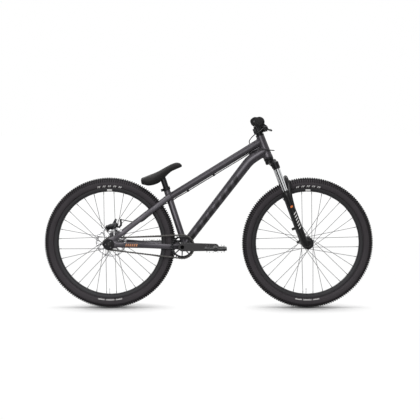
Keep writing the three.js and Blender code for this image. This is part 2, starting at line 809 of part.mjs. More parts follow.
function headsetCup(outerRadius, low, high, collarLow, collarHigh) {
  const whole = barZ(outerRadius, low, high, 20).add(barZ(headTubeBore - clearance, collarLow, collarHigh, 20));
  const boreLow = Math.min(low, collarLow) - overrun;
  const boreHigh = Math.max(high, collarHigh) + overrun;
  return whole.subtract(barZ(steererRadius + 2 * clearance, boreLow, boreHigh, 20));
}

const front = new THREE.Group();
front.position.copy(steeringPoint);
front.rotation.y = -headTilt;
bike.add(front);
const lowerCup = headsetCup(
  headTubeLowRadius,
  lowerCupLow,
  headTubeLow - clearance,
  headTubeLow - clearance,
  headTubeLow + cupCollarDepth,
);
const upperCup = headsetCup(
  cupRadius,
  headTubeHigh + clearance,
  upperCupHigh,
  headTubeHigh - cupCollarDepth,
  headTubeHigh + clearance,
);
addPiece(front, 'headset_lower_cup', lowerCup, blackAlloy);
addPiece(front, 'headset_upper_cup', upperCup, blackAlloy);

// Suspension fork. Lengths run up the steering axis from the foot of the front axle.
const legLead = 20;
const legInset = 14;
const legSpacing = frontHubHalfWidth + legInset;
const stanchionRadius = 15;
const stanchionOverlap = 120;
const legRadius = 18;
const legLow = -8;
const legBoreLow = 55;
const legBelowTyre = 48.5;
const legHigh = tyreRadius - legBelowTyre;
const stanchionLow = legHigh - stanchionOverlap;
const sealHeight = 9.5;
const sealHigh = legHigh + sealHeight;
const crownShoulderDrop = 15;
const crownBridgeDrop = 19;
const crownSocketDepth = 37;
const crownShoulder = lowerCupLow - crownShoulderDrop;
const crownBridgeLow = lowerCupLow - crownBridgeDrop;
const crownLow = crownShoulder - crownSocketDepth;
const crownRadius = 24;
const crownSocketRadius = 18;
const crownBack = 10;
const crownDepth = 44;
const crownShoulderWidth = 11;
const crownArchShare = 0.7;
const stemHeight = 43;
const stemLow = upperCupHigh;
const stemHigh = stemLow + stemHeight;
const archRoom = 27.5;
const archHigh = tyreRadius + archRoom;
const archLead = 48.5;
const archRootDrop = 85;
const archRoot = legHigh - archRootDrop;
const archWidth = 18;
const archDepth = 18;
const lugRadius = 22;
const lugProud = 6;
const lugOuter = legSpacing + lugProud;
const wheelRoomRadius = 42;
const postReach = 16;
const postRadius = 5;
const lowPostHeight = 12;
const postSpacing = 74;

function crownOutline() {
  const side = legSpacing + crownShoulderWidth;
  const inner = legSpacing - crownSocketRadius;
  const low = crownLow + overrun;
  const top = lowerCupLow - clearance;
  const outline = new THREE.Shape();
  outline.moveTo(-side, low);
  outline.lineTo(-inner, low);
  outline.lineTo(-inner * crownArchShare, crownBridgeLow);
  outline.lineTo(inner * crownArchShare, crownBridgeLow);
  outline.lineTo(inner, low);
  outline.lineTo(side, low);
  outline.lineTo(side, crownShoulder - overrun);
  outline.lineTo(legSpacing, crownShoulder);
  outline.lineTo(crownRadius, top - overrun);
  outline.lineTo(-crownRadius, top - overrun);
  outline.lineTo(-legSpacing, crownShoulder);
  outline.lineTo(-side, crownShoulder - overrun);
  outline.closePath();
  return outline;
}

// The crown with the steerer, drawn across the bicycle and turned to face forward
function crown() {
  const bridge = new THREE.ExtrudeGeometry(crownOutline(), { depth: crownDepth, bevelEnabled: false });
  bridge.rotateX(Math.PI / 2);
  bridge.rotateZ(Math.PI / 2);
  bridge.translate(-crownBack, 0, 0);
  const pieces = [
    solidOf(bridge),
    barZ(crownRadius, crownBridgeLow, lowerCupLow - clearance, 20),
    barZ(steererRadius, crownBridgeLow, stemHigh - clearance, 20),
  ];
  const sockets = [];
  [-1, 1].forEach((side) => {
    const leg = [legLead, side * legSpacing, 0];
    const boreHigh = crownShoulder - overrun;
    pieces.push(barZ(crownSocketRadius, crownLow, crownShoulder, 20).translate(leg));
    sockets.push(barZ(stanchionRadius + clearance, crownLow - overrun, boreHigh, 16).translate(leg));
  });
  return cut(join(pieces), sockets);
}

addPiece(front, 'fork_crown', crown(), blackAlloy);
['right', 'left'].forEach((name, index) => {
  const y = (index === 0 ? -1 : 1) * legSpacing;
  const tube = barZ(stanchionRadius, stanchionLow, crownShoulder - overrun - clearance, 16);
  addPiece(front, `stanchion_${name}`, tube.translate([legLead, y, 0]), chromeSteel);
  const seal = ringZ(legRadius - clearance, stanchionRadius + clearance, legHigh + clearance, sealHigh, 20);
  addPiece(front, `wiper_seal_${name}`, seal.translate([legLead, y, 0]), gripRubber);
});

function forkArch() {
  const rows = [
    [archRoot, legLead + legRadius / 2, legSpacing],
    [sealHigh - archDepth, legLead + legRadius + clearance, legSpacing],
    [(sealHigh + archHigh) / 2 - archDepth / 2, archLead - clearance, legSpacing - archDepth / 2],
    [archHigh - archDepth * 1.4, archLead, legSpacing - archWidth],
    [archHigh - archDepth / 2, archLead, legSpacing / 2],
  ];
  const half = rows.map(([z, x, y]) => new THREE.Vector3(x, y, z));
  const places = [...half.map((at) => at.clone().setY(-at.y)), ...half.slice().reverse()];
  const stations = places.map((at) => ({ at, wide: archDepth, tall: archWidth }));
  return tubeSolid(stations, 10, new THREE.Vector3(1, 0, 0));
}

// One casting: both legs, the arch in front of the tyre, the axle lugs and the bare brake posts
function lowers() {
  const pieces = [forkArch()];
  const lugInner = frontHubHalfWidth + clearance;
  const wheelRoom = barY(wheelRoomRadius, -lugInner, lugInner).translate([forkOffset, 0, 0]);
  const axleHole = barY(axleRadius + clearance, -lugOuter - overrun, lugOuter + overrun, 16);
  const cuts = [wheelRoom, axleHole.translate([forkOffset, 0, 0])];
  [-1, 1].forEach((side) => {
    const leg = [legLead, side * legSpacing, 0];
    const facing = (solid) => (side > 0 ? solid : mirrorY(solid));
    pieces.push(barZ(legRadius, legLow, legHigh, 20).translate(leg));
    pieces.push(facing(barY(lugRadius, lugInner, lugOuter, 20)).translate([forkOffset, 0, 0]));
    const nutRoom = barY(nutRadius + rimWall, lugOuter, legSpacing + 2 * legRadius, 16);
    cuts.push(facing(nutRoom).translate([forkOffset, 0, 0]));
    cuts.push(barZ(stanchionRadius + clearance, legBoreLow, legHigh + overrun, 16).translate(leg));
    cuts.push(barZ(legRadius, legHigh, sealHigh + overrun, 20).translate(leg));
  });
  [lowPostHeight, lowPostHeight + postSpacing].forEach((height) => {
    const post = barZ(postRadius, 0, postReach + legRadius, 12).rotate([0, -90, 0]);
    pieces.push(post.translate([legLead, legSpacing, height]));
  });
  return cut(join(pieces), cuts);
}

addPiece(front, 'fork_lowers', lowers(), blackPaint);

const frontWheel = new THREE.Group();
frontWheel.position.set(forkOffset, 0, 0);
frontWheel.rotation.y = headTilt;
front.add(frontWheel);
const frontHub = hub(frontHubHalfWidth, frontFlangeY, hubBarrelRadius, hubBarrelRadius, frontSeatEnd);
wheel(frontWheel, 'front', frontHub, frontFlangeY - flangeThickness / 2);
addPiece(frontWheel, 'front_axle', axle(frontHubHalfWidth, lugOuter), blackAlloy);

// Stem, bar and grips, in the steering frame
const stemRadius = 17.5;
const stemReach = 32.5;
const barClampRadius = 15.9;
const barClampHeight = (stemLow + stemHigh) / 2;
const stemEarReach = 25;
const stemEarHalfWidth = 13;
const stemEarInset = 4;
const barGripRadius = 11.1;
const stemShellRadius = 21;
const stemHalfWidth = 25;
const barHalfWidth = 370;
const barRise = 47.5;
const barSweep = 25;
const gripRadius = 17;
const gripFlangeRadius = 26;
const gripFlangeLength = 4;
const gripLength = 134;
const gripCapLength = 4;
const topCapHeight = 5;
const barSides = 12;

const barShares = [
  [0, 0, 0],
  [0.09, 0, 0],
  [0.14, 0.04, 0.05],
  [0.19, 0.14, 0.19],
  [0.34, 0.52, 0.68],
  [0.39, 0.64, 0.79],
  [0.44, 0.72, 0.83],
  [1, 1, 1],
];

function barPoint(share, side) {
  const next = barShares.findIndex(([along]) => along >= share);
  const [fromAlong, fromSweep, fromRise] = barShares[Math.max(next - 1, 0)];
  const [toAlong, toSweep, toRise] = barShares[next];
  const part = next === 0 ? 0 : (share - fromAlong) / (toAlong - fromAlong);
  return new THREE.Vector3(
    stemReach - barSweep * THREE.MathUtils.lerp(fromSweep, toSweep, part),
    side * share * barHalfWidth,
    barClampHeight + barRise * THREE.MathUtils.lerp(fromRise, toRise, part),
  );
}

function handlebar() {
  const endShare = (barHalfWidth - gripCapLength - clearance) / barHalfWidth;
  const shares = [...barShares.slice(1, -1).map(([share]) => share), endShare];
  const station = (share, side) => {
    const thinning = THREE.MathUtils.clamp((share - barShares[1][0]) / (barShares[3][0] - barShares[1][0]), 0, 1);
    const radius = THREE.MathUtils.lerp(barClampRadius, barGripRadius, thinning);
    return { at: barPoint(share, side), wide: 2 * radius, tall: 2 * radius };
  };
  const left = shares.map((share) => station(share, 1));
  const right = shares.map((share) => station(share, -1)).reverse();
  return tubeSolid([...right, ...left], barSides, new THREE.Vector3(1, 0, 0));
}

function place(solid, position, direction) {
  const turn = new THREE.Quaternion().setFromUnitVectors(new THREE.Vector3(0, 0, 1), direction);
  const matrix = new THREE.Matrix4().compose(position, turn, new THREE.Vector3(1, 1, 1));
  return solid.transform(matrix.elements);
}

function barDirection(side) {
  return barPoint(1, side).sub(barPoint(0.5, side)).normalize();
}

function grip(side) {
  const end = barPoint(1, side);
  const direction = barDirection(side);
  const start = end.clone().addScaledVector(direction, -gripLength);
  const bore = barZ(barGripRadius + clearance, -overrun, gripLength - gripCapLength, 16);
  const body = barZ(gripRadius, 0, gripLength, 20).add(barZ(gripFlangeRadius, 0, gripFlangeLength, 20));
  return place(body.subtract(bore), start, direction);
}

function stemOutline() {
  const halfHeight = (stemHigh - stemLow) / 2;
  const outline = new THREE.Shape();
  outline.absarc(0, 0, stemShellRadius, -Math.PI / 2, Math.PI / 2, false);
  outline.lineTo(-stemReach, halfHeight);
  outline.lineTo(-stemReach, -halfHeight);
  outline.closePath();
  return outline;
}

// The stem body and its face plate are one block, parted through the middle of the handlebar clamp.
function stemParts() {
  const bottom = stemLow + clearance;
  const toClamp = [stemReach, 0, barClampHeight];
  const arm = plateXZ(stemOutline(), -stemHalfWidth, stemHalfWidth, 10).translate(toClamp);
  const waistFront = stemReach - stemShellRadius;
  const waist = boxOf(-stemRadius, waistFront, stemRadius, stemHalfWidth + overrun, 0, stemHigh + overrun);
  const clampTube = barZ(stemRadius, bottom, stemHigh, 20);
  const ears = boxOf(
    -stemEarReach,
    0,
    -stemEarHalfWidth,
    stemEarHalfWidth,
    bottom + stemEarInset,
    stemHigh - stemEarInset,
  );
  const far = barHalfWidth;
  const whole = join([cut(arm, [waist, mirrorY(waist)]), clampTube, ears]);
  const bored = cut(whole, [
    boxOf(-far, far, -far, far, 0, bottom),
    barZ(steererRadius + clearance, stemLow - overrun, stemHigh + overrun, 20),
    barY(barClampRadius + clearance, -far, far, 20).translate(toClamp),
  ]);
  const ahead = boxOf(stemReach + clearance, far, -far, far, 0, 2 * stemHigh);
  const behind = boxOf(-far, stemReach + 2 * clearance, -far, far, 0, 2 * stemHigh);
  return { stem: bored.subtract(ahead), facePlate: bored.subtract(behind) };
}

const { stem, facePlate } = stemParts();
addPiece(front, 'stem', stem, blackAlloy);
addPiece(front, 'stem_face_plate', facePlate, blackAlloy);
const capLow = stemHigh + clearance;
const topCap = barZ(stemRadius - clearance, capLow, capLow + topCapHeight, 20);
addPiece(front, 'top_cap', topCap, blackAlloy);
addPiece(front, 'handlebar', handlebar(), blackAlloy);
addPiece(front, 'grip_right', grip(-1), gripRubber);
addPiece(front, 'grip_left', grip(1), gripRubber);

// Brake lever on the right of the bar. Its own frame has X away from the bar and Y along it, inboard.
const leverGap = 31;
const leverPlace = barHalfWidth - gripLength - leverGap;
const leverDrop = THREE.MathUtils.degToRad(42);
const leverClampRadius = 16.5;
const leverClampHalfWidth = 9;
const leverPivotReach = 46;
const leverEarRadius = 8;
const leverSlotHalf = 3.3;
const leverPinRadius = 2.5;
const bladeLength = 96;
const bladeWidth = 9;
const bladeThickness = 11;
const barrelReach = 29;
const barrelRadius = 5.5;
const barrelLength = 24;
const cableRadius = 2.5;

const leverBase = barPoint(leverPlace / barHalfWidth, -1);
const leverInboard = barDirection(-1).negate();
const leverOut = new THREE.Vector3(Math.cos(leverDrop + headTilt), 0, -Math.sin(leverDrop + headTilt));
leverOut.addScaledVector(leverInboard, -leverOut.dot(leverInboard)).normalize();
const leverSide = leverOut.clone().cross(leverInboard);
const lever = new THREE.Group();
lever.position.copy(leverBase);
lever.setRotationFromMatrix(new THREE.Matrix4().makeBasis(leverOut, leverInboard, leverSide));
front.add(lever);

function leverBracket() {
  const body = plateXZ(taperedLink(leverClampRadius, leverEarRadius, leverPivotReach), -leverClampHalfWidth,
    leverClampHalfWidth, 8);
  const barrel = barY(barrelRadius, 0, leverClampHalfWidth + barrelLength, 12).translate([barrelReach, 0, 0]);
  const slotStart = barrelReach + barrelRadius;
  const slot = boxOf(slotStart, leverPivotReach * 2, -bladeLength, bladeLength, -leverSlotHalf, leverSlotHalf);
  const bore = barY(barGripRadius + clearance, -bladeLength, bladeLength, 20);
  const pin = barZ(leverPinRadius, -leverEarRadius + overrun / 2, leverEarRadius - overrun / 2, 10)
    .translate([leverPivotReach, 0, 0]);
  return cut(body.add(barrel), [slot, bore]).add(pin);
}

const bladeRootShare = 0.04;
const bladeShares = [[0.02, 0.45, 1], [-0.02, 0.75, 1], [0.03, 0.94, 1], [0.06, 1, 0.7]];

function leverBlade() {
  const thin = 2 * (leverSlotHalf - clearance);
  const rows = [
    [0, 0, thin],
    [bladeRootShare, -leverClampHalfWidth, thin],
    [bladeRootShare, -leverClampHalfWidth * 2, bladeThickness],
    ...bladeShares.map(([outShare, alongShare, thickShare]) => (
      [outShare, -alongShare * bladeLength, thickShare * bladeThickness]
    )),
  ];
  const stations = rows.map(([outShare, y, thick]) => ({
    at: new THREE.Vector3(leverPivotReach + outShare * bladeLength, y, 0),
    wide: thick,
    tall: bladeWidth,
  }));
  const blade = tubeSolid(stations, 8, new THREE.Vector3(0, 0, 1));
  const boss = barZ(leverEarRadius - clearance, -thin / 2, thin / 2, 16).translate([leverPivotReach, 0, 0]);
  const pinHole = barZ(leverPinRadius + clearance, -bladeThickness, bladeThickness, 10)
    .translate([leverPivotReach, 0, 0]);
  return blade.add(boss).subtract(pinHole);
}

addPiece(lever, 'brake_lever_bracket', leverBracket(), blackAlloy);
addPiece(lever, 'brake_lever_blade', leverBlade(), blackAlloy);

// Cranks, chainring and pedals
const crankLength = 170;
const crankBossRadius = 22;
const crankEndRadius = 18;
const crankThickness = 16;
const crankFromChain = 6;
const crankInner = chainLine + crankFromChain;
const crankFlare = 11;
const spigotRadius = 14.7;
const spigotGap = 1.5;
const spigotInner = bottomBracketHalfWidth + spigotGap;
const pedalAxleRadius = 7;
const pedalFlangeRadius = 9;
const pedalFlangeLength = 3;
const pedalLength = 100;
const pedalWidth = 95;
const pedalThickness = 25;
const pedalRim = 13;
const pedalCore = 12;
const pedalCorner = 16;
const chainringWebInner = 21;
const chainringWebOuter = 46;
const chainringArms = 8;
const chainringArmHalfWidth = 4;

const cranks = new THREE.Group();
cranks.position.copy(bottomBracketPoint);
bike.add(cranks);

// The right arm, drawn with its inner face at the chainring side; the left arm is its mirror image.
function crankArm() {
  const arm = plateXZ(taperedLink(crankBossRadius, crankEndRadius, crankLength), -crankInner - crankThickness,
    -crankInner, 10);
  const flare = -crankFlare / crankLength;
  const leaned = arm.transform([1, flare, 0, 0, 0, 1, 0, 0, 0, 0, 1, 0, 0, 0, 0, 1]);
  const spigot = barY(spigotRadius, -crankInner - overrun, -spigotInner, 20);
  const pedalHole = barY(pedalAxleRadius + clearance, -crankLength, 0, 16).translate([crankLength, 0, 0]);
  return leaned.add(spigot).subtract(pedalHole);
}

const spindleEnd = crankInner + crankThickness;
const rightArm = crankArm().add(barY(spindleRadius, -crankInner - overrun, spindleEnd, 20));
const leftArm = mirrorY(crankArm()).subtract(barY(spindleRadius + clearance, 0, spindleEnd * 2, 20)).rotate([0, 180, 0]);
addPiece(cranks, 'crank_arm_right', rightArm, blackAlloy);
addPiece(cranks, 'crank_arm_left', leftArm, blackAlloy);

function chainring() {
  const shape = sprocketShape(chainringTeeth, chainringPitchRadius, spigotRadius + clearance);
  const turn = (2 * Math.PI) / chainringArms;
  for (let index = 0; index < chainringArms; index += 1) {
    const innerHalf = chainringArmHalfWidth / chainringWebInner;
    const outerHalf = chainringArmHalfWidth / chainringWebOuter;
    const from = index * turn;
    const to = from + turn;
    const outerEdge = arcPoints(chainringWebOuter, from + outerHalf, to - outerHalf, 3);
    const innerEdge = arcPoints(chainringWebInner, to - innerHalf, from + innerHalf, 1);
    shape.holes.push(new THREE.Path([...outerEdge, ...innerEdge]));
  }
  return plateXZ(shape, -chainLine - sprocketThickness / 2, -chainLine + sprocketThickness / 2);
}

addPiece(cranks, 'chainring', chainring(), blackAlloy);

const crankOuter = crankInner + crankThickness + crankFlare * (1 + pedalFlangeRadius / crankLength);
const pedalInner = crankOuter + clearance + pedalFlangeLength + clearance;

function pedalAxle() {
  const low = crankInner + crankFlare;
  const bar = barY(pedalAxleRadius, low, pedalInner + pedalWidth - pedalRim, 16);
  const flange = barY(pedalFlangeRadius, crankOuter + clearance, pedalInner - clearance, 6);
  return bar.add(flange);
}

function pedalBody() {
  const halfLength = pedalLength / 2;
  const pedalOuter = pedalInner + pedalWidth;
  const longSide = halfLength - pedalCorner;
  const outline = new THREE.Shape();
  outline.moveTo(-longSide, pedalInner);
  outline.lineTo(longSide, pedalInner);
  outline.lineTo(halfLength, pedalInner + pedalCorner);
  outline.lineTo(halfLength, pedalOuter - pedalCorner);
  outline.lineTo(longSide, pedalOuter);
  outline.lineTo(-longSide, pedalOuter);
  outline.lineTo(-halfLength, pedalOuter - pedalCorner);
  outline.lineTo(-halfLength, pedalInner + pedalCorner);
  outline.closePath();
  const geometry = new THREE.ExtrudeGeometry(outline, { depth: pedalThickness, bevelEnabled: false });
  const slab = solidOf(geometry.translate(0, 0, -pedalThickness / 2));
  const windowLow = pedalInner + pedalRim;
  const windowHigh = pedalOuter - pedalRim;
  const far = halfLength - pedalRim;
  return cut(slab, [
    boxOf(pedalCore, far, windowLow, windowHigh, -pedalThickness, pedalThickness),
    boxOf(-far, -pedalCore, windowLow, windowHigh, -pedalThickness, pedalThickness),
    barY(pedalAxleRadius + clearance, 0, windowHigh + clearance, 16),
  ]);
}

[['right', -1], ['left', 1]].forEach(([name, side]) => {
  const end = new THREE.Group();
  end.position.set(-side * crankLength, 0, 0);
  cranks.add(end);
  const facing = (solid) => (side > 0 ? solid : mirrorY(solid));
  addPiece(end, `pedal_axle_${name}`, facing(pedalAxle()), chainSteel);
  addPiece(end, `pedal_${name}`, facing(pedalBody()), blackPlastic);
});

// Chain: two rows of side plates round both sprockets, joined by rollers where it runs free of teeth
const rollerRoomFront = 32;
const rollerRoomRear = 23;
const rollerSides = 4;
const rollerSpacing = 2 * chainPitch;

function chainPlate(low, high) {
  const outline = beltPath(
    new THREE.Shape(),
    cogPitchRadius + plateHalfHeight,
    chainringPitchRadius + plateHalfHeight,
    sprocketDistance,
  );
  outline.holes.push(beltPath(
    new THREE.Path(),
    cogPitchRadius - plateHalfHeight,
    chainringPitchRadius - plateHalfHeight,
    sprocketDistance,
  ));
  return plateXZ(outline, low, high, 7);
}

function chain() {
  const pieces = [
    chainPlate(-chainLine - plateOuterHalfWidth, -chainLine - plateInnerHalfGap),
    chainPlate(-chainLine + plateInnerHalfGap, -chainLine + plateOuterHalfWidth),
  ];
  const slope = Math.asin(pitchRadiusStep / sprocketDistance);
  const run = sprocketDistance * Math.cos(slope);
  const count = Math.floor((run - rollerRoomFront - rollerRoomRear) / rollerSpacing);
  const reach = (plateInnerHalfGap + plateOuterHalfWidth) / 2;
  [-1, 1].forEach((side) => {
    for (let index = 0; index <= count; index += 1) {
      const along = rollerRoomRear + index * rollerSpacing;
      const x = along * Math.cos(slope) - cogPitchRadius * Math.sin(slope);
      const z = side * (cogPitchRadius * Math.cos(slope) + along * Math.sin(slope));
      pieces.push(barY(rollerRadius, -chainLine - reach, -chainLine + reach, rollerSides).translate([x, 0, z]));
    }
  });
  const drop = Math.asin(bottomBracketDrop / sprocketDistance);
  return atPoint(join(pieces).rotate([0, THREE.MathUtils.radToDeg(drop), 0]), rearAxlePoint);
}

addPiece(frame, 'chain', chain(), chainSteel);

// Rear brake. The caliper straddles the rotor above the axle, and its arm turns on a pin outside it.
const caliperForward = 10;
const caliperHalfLength = 25;
const caliperBelowRim = 28;
const caliperAboveRim = 16;
const caliperDepth = 33.5;
const caliperLow = rotorRadius - caliperBelowRim;
const caliperHigh = rotorRadius + caliperAboveRim;
const caliperOuter = rearHubHalfWidth;
const caliperInner = caliperOuter - caliperDepth;
const caliperCorner = 10;
const rotorRoom = 0.8;
const armPivotHeight = rotorRadius;
const armPinRadius = 4;
const armHubRadius = 10;
const armTipRadius = 6;
const armLength = 36;
const armThickness = 5;
const armLean = THREE.MathUtils.degToRad(21);
const stopForward = 50;
const stopRise = 17;
const stopInset = 9.5;
const stopProud = 7.5;
const stopHeight = caliperHigh + stopRise;
const stopInner = caliperOuter - stopInset;
const stopOuter = caliperOuter + stopProud;
const stopHalfLength = 4;
const stopHalfHeight = 6;
const stopArmThickness = 8;
const cableStopProud = 1.5;
const cableStopY = caliperOuter + cableStopProud;

function caliper() {
  const low = caliperForward - caliperHalfLength;
  const high = caliperForward + caliperHalfLength;
  const outline = new THREE.Shape();
  outline.moveTo(low, caliperLow);
  outline.lineTo(high, caliperLow);
  outline.lineTo(high, caliperHigh - caliperCorner);
  outline.lineTo(high - caliperCorner, caliperHigh);
  outline.lineTo(low + caliperCorner, caliperHigh);
  outline.lineTo(low, caliperHigh - caliperCorner);
  outline.closePath();
  const body = plateXZ(outline, caliperInner, caliperOuter);
  const slot = boxOf(low - overrun, high + overrun, rotorY - rotorRoom, rotorY + rotorThickness + rotorRoom,
    0, rotorRadius + rotorRoom);
  const pin = barY(armPinRadius, caliperOuter - overrun, caliperOuter + clearance * 2 + armThickness, 12)
    .translate([caliperForward, 0, armPivotHeight]);
  const rootX = high - stopArmThickness;
  const rootZ = caliperHigh - caliperCorner * 2;
  const armReach = Math.hypot(stopForward - rootX, stopHeight - rootZ);
  const climb = THREE.MathUtils.radToDeg(Math.atan2(stopHeight - rootZ, stopForward - rootX));
  const stopArm = boxOf(0, armReach, stopInner, caliperOuter, -stopArmThickness / 2, stopArmThickness / 2)
    .rotate([0, -climb, 0]).translate([rootX, 0, rootZ]);
  const stop = boxOf(stopForward - stopHalfLength, stopForward + stopHalfLength, stopInner, stopOuter,
    stopHeight - stopHalfHeight, stopHeight + stopHalfHeight);
  return atPoint(join([body.subtract(slot), pin, stopArm, stop]), rearAxlePoint);
}

function caliperArm() {
  const low = caliperOuter + clearance;
  const link = plateXZ(taperedLink(armHubRadius, armTipRadius, armLength), low, low + armThickness, 8);
  const turned = link.rotate([0, -90 + THREE.MathUtils.radToDeg(armLean), 0])
    .subtract(barY(armPinRadius + clearance, 0, caliperOuter * 2, 12));
  return atPoint(turned.translate([caliperForward, 0, armPivotHeight]), rearAxlePoint);
}

addPiece(frame, 'brake_caliper', caliper(), blackAlloy);
addPiece(frame, 'caliper_arm', caliperArm(), blackAlloy);

// The cable housing, held under the top tube by guides. It starts at the lever, passes behind the stem,
// goes round the head tube and ends at the stop on the caliper.
const cableDrop = 5.8;
const guideShares = [0.18, 0.46];
const tubeShares = [0.75, 0.66, 0.5, 0.46, 0.3, 0.18, 0.12];
const underStayShares = [0.86, 0.77, 0.66, 0.55];
const stayCableDrop = 4;
const guideHalfLength = 6;
const guideHalfWidth = 5;
const guideBottom = 4;
const cableSteps = 80;
const cableSides = 5;

const topTubeLow = onSeatTube(topTubeSeatJoin);
const topTubeHigh = onSteering(topTubeHeadJoin);
const topTubeAlong = topTubeHigh.clone().sub(topTubeLow).normalize();
const topTubeUp = new THREE.Vector3(-topTubeAlong.z, 0, topTubeAlong.x);

function underTopTube(share) {
  const tall = THREE.MathUtils.lerp(topTubeLowHeight, topTubeHighHeight, share);
  return topTubeLow.clone().lerp(topTubeHigh, share).addScaledVector(topTubeUp, -tall / 2 - cableDrop);
}

// Places by hand: [ahead of the steering axis, to the left, up the axis]
const loopPoints = [
  [25, -128, 643],
  [24, -100, 638],
  [12, -70, 632],
  [-6, -43, 627],
  [-28, -20, 621],
  [-48, 2, 611],
  [-61, 21, 599],
  [-62, 38, 581],
  [-46, 46, 561],
  [-20, 46, 543],
  [9, 39, 526],
  [33, 21, 514],
  [42, 0, 510],
  [34, -20, 514],
  [12, -33, 525],
  [-14, -35, 537],
  [-38, -30, 545],
  [-62, -15, 545],
];

// Places by hand beside the seat tube, and outside the left seatstay: forward of the rear axle, to the
// left, above the axle
const seatTubePoints = [
  [346, 7, 235],
  [329, 20, 222],
  [311, 24, 209],
];
const outsideStayPoints = [
  [160, 60, 105],
  [140, 68, 102],
  [120, 72, 102],
  [99, 73, 105],
  [78, 71, 109],
];

function underSeatstay(share) {
  const { at, tall } = seatstayStation(share);
  const drop = tall / 2 + stayCableDrop;
  return at.add(new THREE.Vector3(Math.sin(seatstayAngle) * drop, 0, -Math.cos(seatstayAngle) * drop));
}

function cableRoute() {
  const barrelEnd = new THREE.Vector3(barrelReach, leverClampHalfWidth + barrelLength + clearance, 0);
  const afterBarrel = barrelEnd.clone().setY(barrelEnd.y + 3 * cableRadius);
  lever.updateWorldMatrix(true, false);
  const leaving = [barrelEnd, afterBarrel].map((point) => point.applyMatrix4(lever.matrixWorld));
  const loop = loopPoints.map(([ahead, y, along]) => onSteering(along, ahead).setY(y));
  const fromAxle = (point) => rearAxlePoint.clone().add(new THREE.Vector3(...point));
  const stop = rearAxlePoint.clone().add(
    new THREE.Vector3(stopForward + stopHalfLength + clearance, cableStopY, stopHeight),
  );
  const beforeStop = stop.clone().add(new THREE.Vector3(3 * cableRadius, 0, 0));
  return [
    ...leaving,
    ...loop,
    ...tubeShares.map(underTopTube),
    ...seatTubePoints.map(fromAxle),
    ...underStayShares.map(underSeatstay),
    ...outsideStayPoints.map(fromAxle),
    beforeStop,
    stop,
  ];
}

function cable() {
  const section = new THREE.Shape(circlePoints(cableRadius, cableSides));
  const route = new THREE.CatmullRomCurve3(cableRoute(), false, 'centripetal');
  const geometry = new THREE.ExtrudeGeometry(section, {
    steps: cableSteps,
    extrudePath: route,
    bevelEnabled: false,
  });
  return solidOf(geometry);
}

function cableGuide(share) {
  const tall = THREE.MathUtils.lerp(topTubeLowHeight, topTubeHighHeight, share);
  const block = boxOf(-guideHalfLength, guideHalfLength, -guideHalfWidth, guideHalfWidth,
    -cableRadius - guideBottom / 2, cableDrop + tall / 4);
  const bore = barZ(cableRadius + 2 * clearance, -guideHalfLength * 2, guideHalfLength * 2, 12).rotate([0, 90, 0]);
  const pitch = THREE.MathUtils.radToDeg(Math.atan2(topTubeAlong.z, topTubeAlong.x));
  const placed = atPoint(block.subtract(bore).rotate([0, -pitch, 0]), underTopTube(share));
  return placed.subtract(topTubeBody(clearance));
}

addPiece(bike, 'brake_cable', cable(), housingPlastic);
addPiece(frame, 'cable_guide_rear', cableGuide(guideShares[0]), blackPlastic);
addPiece(frame, 'cable_guide_front', cableGuide(guideShares[1]), blackPlastic);

// Seatpost, its clamp and the saddle
const postShowing = 63;
const postLength = 231;
const postHeadHeight = seatTubeLength + postShowing;
const postLow = postHeadHeight - postLength;
const postHeadRadius = 14;
const postHeadHalfWidth = 16;
const postNeck = 20;
const clampHeight = 15;
const clampLow = seatTubeLength - clampHeight;
const clampRadius = 20;
const clampEar = 9;
const clampEarHalfWidth = 9;
const clampBoltRadius = 3.5;
const saddleLength = 214;
const saddleRise = 120;
const saddleWidth = 130;
const saddleTail = 110;
const saddleDrop = 50;
const saddleSides = 14;
const tiltRoom = 6;

const seat = new THREE.Group();
seat.position.copy(seatTubePoint);
seat.rotation.y = -seatTilt;
bike.add(seat);

function seatClamp() {
  const high = seatTubeLength + clearance * 2;
  const middle = (clampLow + high) / 2;
  const collar = barZ(clampRadius, clampLow, high, 24);
  const ears = boxOf(-clampRadius - clampEar, 0, -clampEarHalfWidth, clampEarHalfWidth, clampLow + clearance * 2,
    high - clearance * 2);
  const bolt = barY(clampBoltRadius, -clampEarHalfWidth - clampBoltRadius, clampEarHalfWidth + clampBoltRadius, 10)
    .translate([-clampRadius - clampEar / 2, 0, middle]);
  return join([collar, ears, bolt]).subtract(barZ(seatTubeRadius + clearance, 0, postHeadHeight));
}

function seatPost() {
  const shoulder = postHeadHeight - postNeck;
  const tube = barZ(seatPostRadius, postLow, shoulder);
  const neck = coneZ(seatPostRadius, postHeadRadius - clearance, shoulder - clearance, postHeadHeight, 24);
  const head = barY(postHeadRadius, -postHeadHalfWidth, postHeadHalfWidth, 20).translate([0, 0, postHeadHeight]);
  return join([tube, neck, head]);
}

addPiece(seat, 'seat_clamp', seatClamp(), blackAlloy);
addPiece(seat, 'seat_post', seatPost(), blackAlloy);

// Along the saddle from tail to nose: places of the top and bottom lines, and the width
const saddleShares = [
  [0.01, 0.31, 0.17, 0.56],
  [0.03, 0.34, 0.065, 0.8],
  [0.1, 0.385, 0.03, 0.94],
  [0.19, 0.45, 0, 1],
  [0.31, 0.53, 0.03, 0.96],
  [0.43, 0.63, 0.115, 0.8],
  [0.52, 0.72, 0.24, 0.64],
  [0.61, 0.81, 0.4, 0.5],
  [0.73, 0.92, 0.595, 0.38],
  [0.85, 0.99, 0.7, 0.31],
  [0.94, 0.965, 0.77, 0.25],
  [0.99, 0.885, 0.81, 0.14],
];

